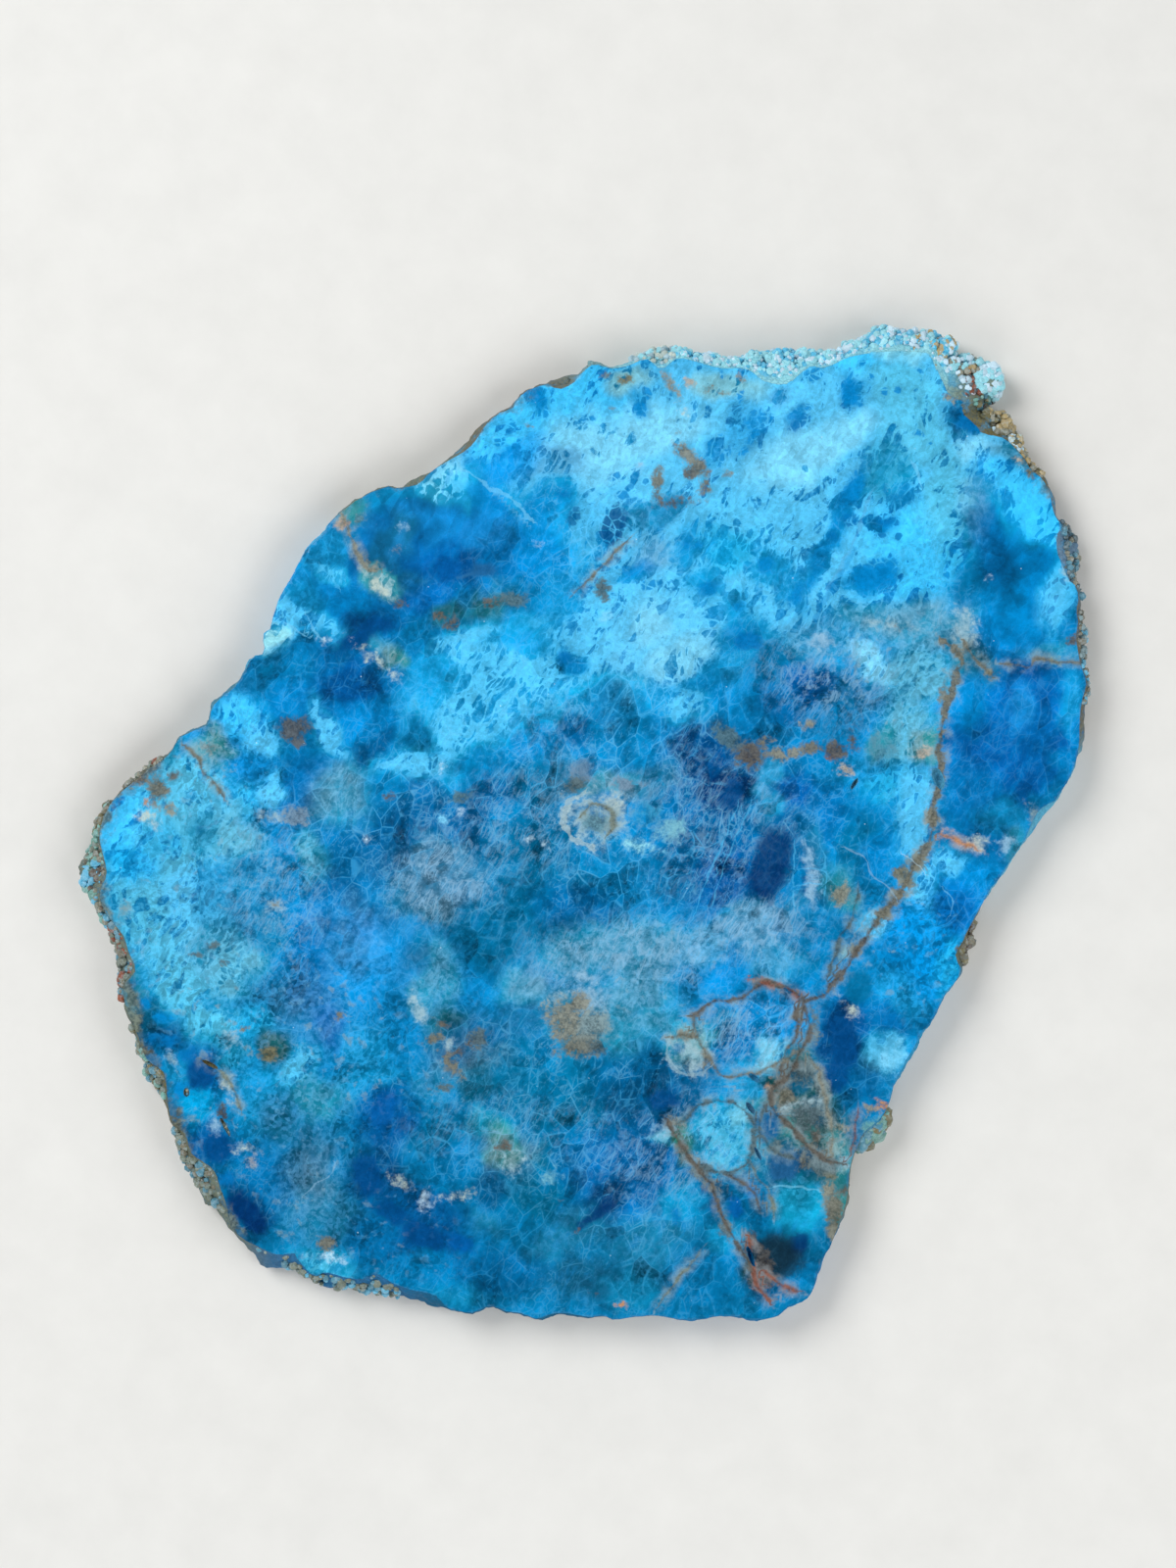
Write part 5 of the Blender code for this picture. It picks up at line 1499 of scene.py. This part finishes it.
# what covers each part of the crust: x, y, half length, half width, turn, share, size of the crystals, colours
crustZones = [
    (14, 80.6, 7, 3, 0, 0.7, 1.0, ["creamGrey", "cream", "cyanWhite"]),
    (32, 79.6, 16, 4, 0, 1.0, 1.0, ["cyanWhite", "cyanWhite", "white", "cyanSky"]),
    (50, 82, 8, 4, 10, 1.0, 1.0, ["cyanWhite", "white", "cyanWhite", "cyanSky"]),
    (60, 81, 5, 4, -30, 1.0, 1.0, ["cyanWhite", "cyanSky", "white", "gold"]),
    (65, 78.4, 3, 3, -40, 1.0, 1.0, ["cyanWhite", "white", "tan"]),
    (66.8, 77, 1.4, 1.2, -30, 1.0, 1.0, ["gold", "tan", "orange"]),
    (69.8, 75.4, 2.6, 3, 0, 1.3, 1.25, ["white", "cyanWhite", "cyanWhite"]),
    (66, 74, 1.6, 2.2, 20, 1.0, 1.0, ["creamGrey", "white", "darkGrey", "rust"]),
    (68.8, 71.6, 2.4, 1.6, -40, 0.8, 1.0, ["olive", "greyTeal", "greenChip", "darkBrown"]),
    (71.6, 68.2, 3.4, 2, -50, 0.8, 1.0, ["gold", "olive", "tan", "gold", "white"]),
    (74.2, 64.6, 1.6, 1.6, 0, 1.0, 1.0, ["white", "cream", "gold"]),
    (76.4, 61, 2, 2.6, 30, 0.5, 1.0, ["olive", "gold", "tan"]),
    (-83.4, -1, 4, 8, 10, 0.5, 1.2, ["oliveGrey", "olive", "greenChip", "tanDark"]),
    (-80.6, -12, 4, 6, 20, 0.6, 1.3, ["greenChip", "tan", "cyanPale", "brown"]),
    (-76.6, -24, 4, 8, 15, 0.5, 1.2, ["oliveGrey", "greyTeal", "oliveGrey", "tanDark", "rust"]),
    (-71, -40, 4, 9, 25, 0.5, 1.3, ["oliveGrey", "greyTeal", "olive", "greenChip"]),
    (-62, -58, 5, 11, 35, 0.5, 1.2, ["oliveGrey", "oliveGrey", "tanDark", "greyTeal"]),
    (-44, -74.6, 14, 4, -25, 0.4, 1.1, ["greyTeal", "oliveGrey", "cyanPale", "oliveGrey"]),
    (-75, 9, 4, 4, 45, 0.5, 1.0, ["tanDark", "rust", "tan", "oliveGrey"]),
    (49.6, -53, 3, 5, 0, 0.6, 2.0, ["greenChip", "greenChip", "greyTeal", "olive"]),
    (67, -21, 3, 4, 0, 0.5, 1.4, ["olive", "brown", "tanDark"]),
    (85, 28, 3, 8, 0, 0.4, 1.0, ["tanDark", "greyTan", "cyanPale"]),
    (84, 46, 3, 8, 0, 0.4, 1.0, ["brownGrey", "tan", "greyTeal"]),
]

crustForm = {
    "count": 2300,
    "seed": 11,
    "halfWidth": (0.3, 0.75),
    "length": (0.7, 1.5),
    "tilt": 0.5,  # how far the crystals lean from the skin they grow on
    "sunk": 0.6,  # share of a crystal that is grown in
    "sides": 6,
    "tipHeight": 0.24,
    "tipWidth": 0.3,
    "below": 0.08,  # the tips stay this far from the polished face and the ground
}


def crystalModel():
    # a six-sided crystal of unit size, with a cut-off tip
    form = crustForm
    bpy.ops.object.select_all(action="DESELECT")
    bpy.ops.mesh.primitive_cylinder_add(vertices=form["sides"], radius=1, depth=1, location=(0, 0, 0))
    model = bpy.context.object
    mesh = model.data
    selectedFaces(mesh, [polygon.normal.z > 0.9 for polygon in mesh.polygons])
    bpy.ops.object.mode_set(mode="EDIT")
    bpy.ops.mesh.select_mode(type="FACE")
    bpy.ops.mesh.extrude_region_move(TRANSFORM_OT_translate={"value": (0, 0, form["tipHeight"])})
    bpy.ops.transform.resize(value=(form["tipWidth"], form["tipWidth"], 1))
    bpy.ops.object.mode_set(mode="OBJECT")
    return model


def crustPlaces(mesh):
    # skin faces of the stone that carry crystals, with their share and colours
    found = []
    shift = np.array(readShift)
    for polygon in mesh.polygons:
        centre = np.array(polygon.center) / mm
        if not 0.6 < centre[2] < faceHeight - 0.12 or polygon.normal.z < -0.2:
            continue
        spot = (centre[:2] - shift)[None, :]
        for zone in reversed(crustZones):
            if ovalDistance(spot, zone)[0] < 1:
                found.append((polygon, zone[5] * polygon.area, zone[6], zone[7]))
                break
    return found


def addCrust(stone):
    form = crustForm
    chance = random.Random(form["seed"])
    model = crystalModel()
    grown = crustPlaces(stone.data)
    picks = chance.choices(grown, weights=[share for polygon, share, size, colours in grown], k=form["count"])
    copies = []
    for polygon, share, bulk, colours in picks:
        halfWidth = chance.uniform(*form["halfWidth"]) * bulk
        length = chance.uniform(*form["length"]) * (0.5 + halfWidth)
        lean = Vector([chance.uniform(-form["tilt"], form["tilt"]) for axis in range(3)])
        axis = (polygon.normal + lean).normalized()
        middle = polygon.center + axis * length * (0.5 - form["sunk"]) * mm
        lowest = form["below"] * mm
        topmost = (faceHeight - form["below"]) * mm
        reach = (abs(axis.z) * length * 0.75 + math.hypot(axis.x, axis.y) * halfWidth) * mm
        middle.z = min(max(middle.z, lowest + reach), topmost - reach)
        turn = axis.to_track_quat("Z", "Y").to_matrix().to_4x4()
        spin = Matrix.Rotation(chance.uniform(0, math.tau), 4, "Z")
        size = Matrix.Diagonal((halfWidth * mm, halfWidth * mm, length * mm, 1))
        mesh = model.data.copy()
        mesh.transform(Matrix.Translation(middle) @ turn @ spin @ size)
        tint = np.array(stoneColours[chance.choice(colours)])
        level = chance.uniform(0.82, 1.1)
        storeColour(mesh, "crystalTint", np.tile(tint * level, (len(mesh.vertices), 1)))
        made = bpy.data.objects.new("crystal", mesh)
        bpy.context.scene.collection.objects.link(made)
        copies.append(made)
    bpy.data.objects.remove(model)
    bpy.ops.object.select_all(action="DESELECT")
    for made in copies:
        made.select_set(True)
    bpy.context.view_layer.objects.active = copies[0]
    bpy.ops.object.join()
    crust = bpy.context.object
    crust.name = "crystalCrust"
    return crust


def crystalMaterial():
    shop = Shop("apatiteCrystal")
    place = shop.scaled(shop.add("ShaderNodeTexCoord", output="Object"), 1000.0)
    close = shop.grain(place, 0.7, 4.0, 0.6)
    fine = shop.grain(place, 0.2, 2.0, 0.6)
    tint = shop.attribute("crystalTint", "Color")
    colour = shop.blend(close.rises(0.45, 0.65) * 0.45, tint, shop.blend(0.5, tint, stoneColours["white"]))
    colour = shop.blend(close.falls(0.3, 0.45) * 0.3, colour, shop.blend(0.5, tint, stoneColours["cyan"]))
    colour = shop.scaled(colour, 0.75 + 0.45 * fine)
    bump = shop.add("ShaderNodeBump", None, {"Strength": 0.4, "Distance": 0.0001, "Height": fine})
    shader = shop.add(
        "ShaderNodeBsdfPrincipled",
        None,
        {"Base Color": colour, "Roughness": 0.22 + 0.3 * close, "Specular IOR Level": 0.4, "Normal": bump},
    )
    shop.add("ShaderNodeOutputMaterial", None, {"Surface": shader})
    return shop.material


bpy.context.scene.view_settings.view_transform = "Standard"
addCamera()
addLights()
addAir()
addFloor()
print("slab scene: camera, lights and floor")

stone = addStone()
print("slab scene: stone form", len(stone.data.vertices), "points")
mapStone(stone.data)
stone.data.materials.append(apatiteMaterial())
bpy.ops.object.select_all(action="DESELECT")
stone.select_set(True)
bpy.context.view_layer.objects.active = stone
bpy.ops.object.shade_smooth_by_angle(angle=math.radians(stoneForm["smoothAngle"]))
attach(stone, "root")
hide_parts("slab")
print("slab scene: stone mapped and painted")

crust = addCrust(stone)
crust.data.materials.append(crystalMaterial())
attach(crust, "root")
print("slab scene: crystal crust", len(crust.data.polygons), "faces")
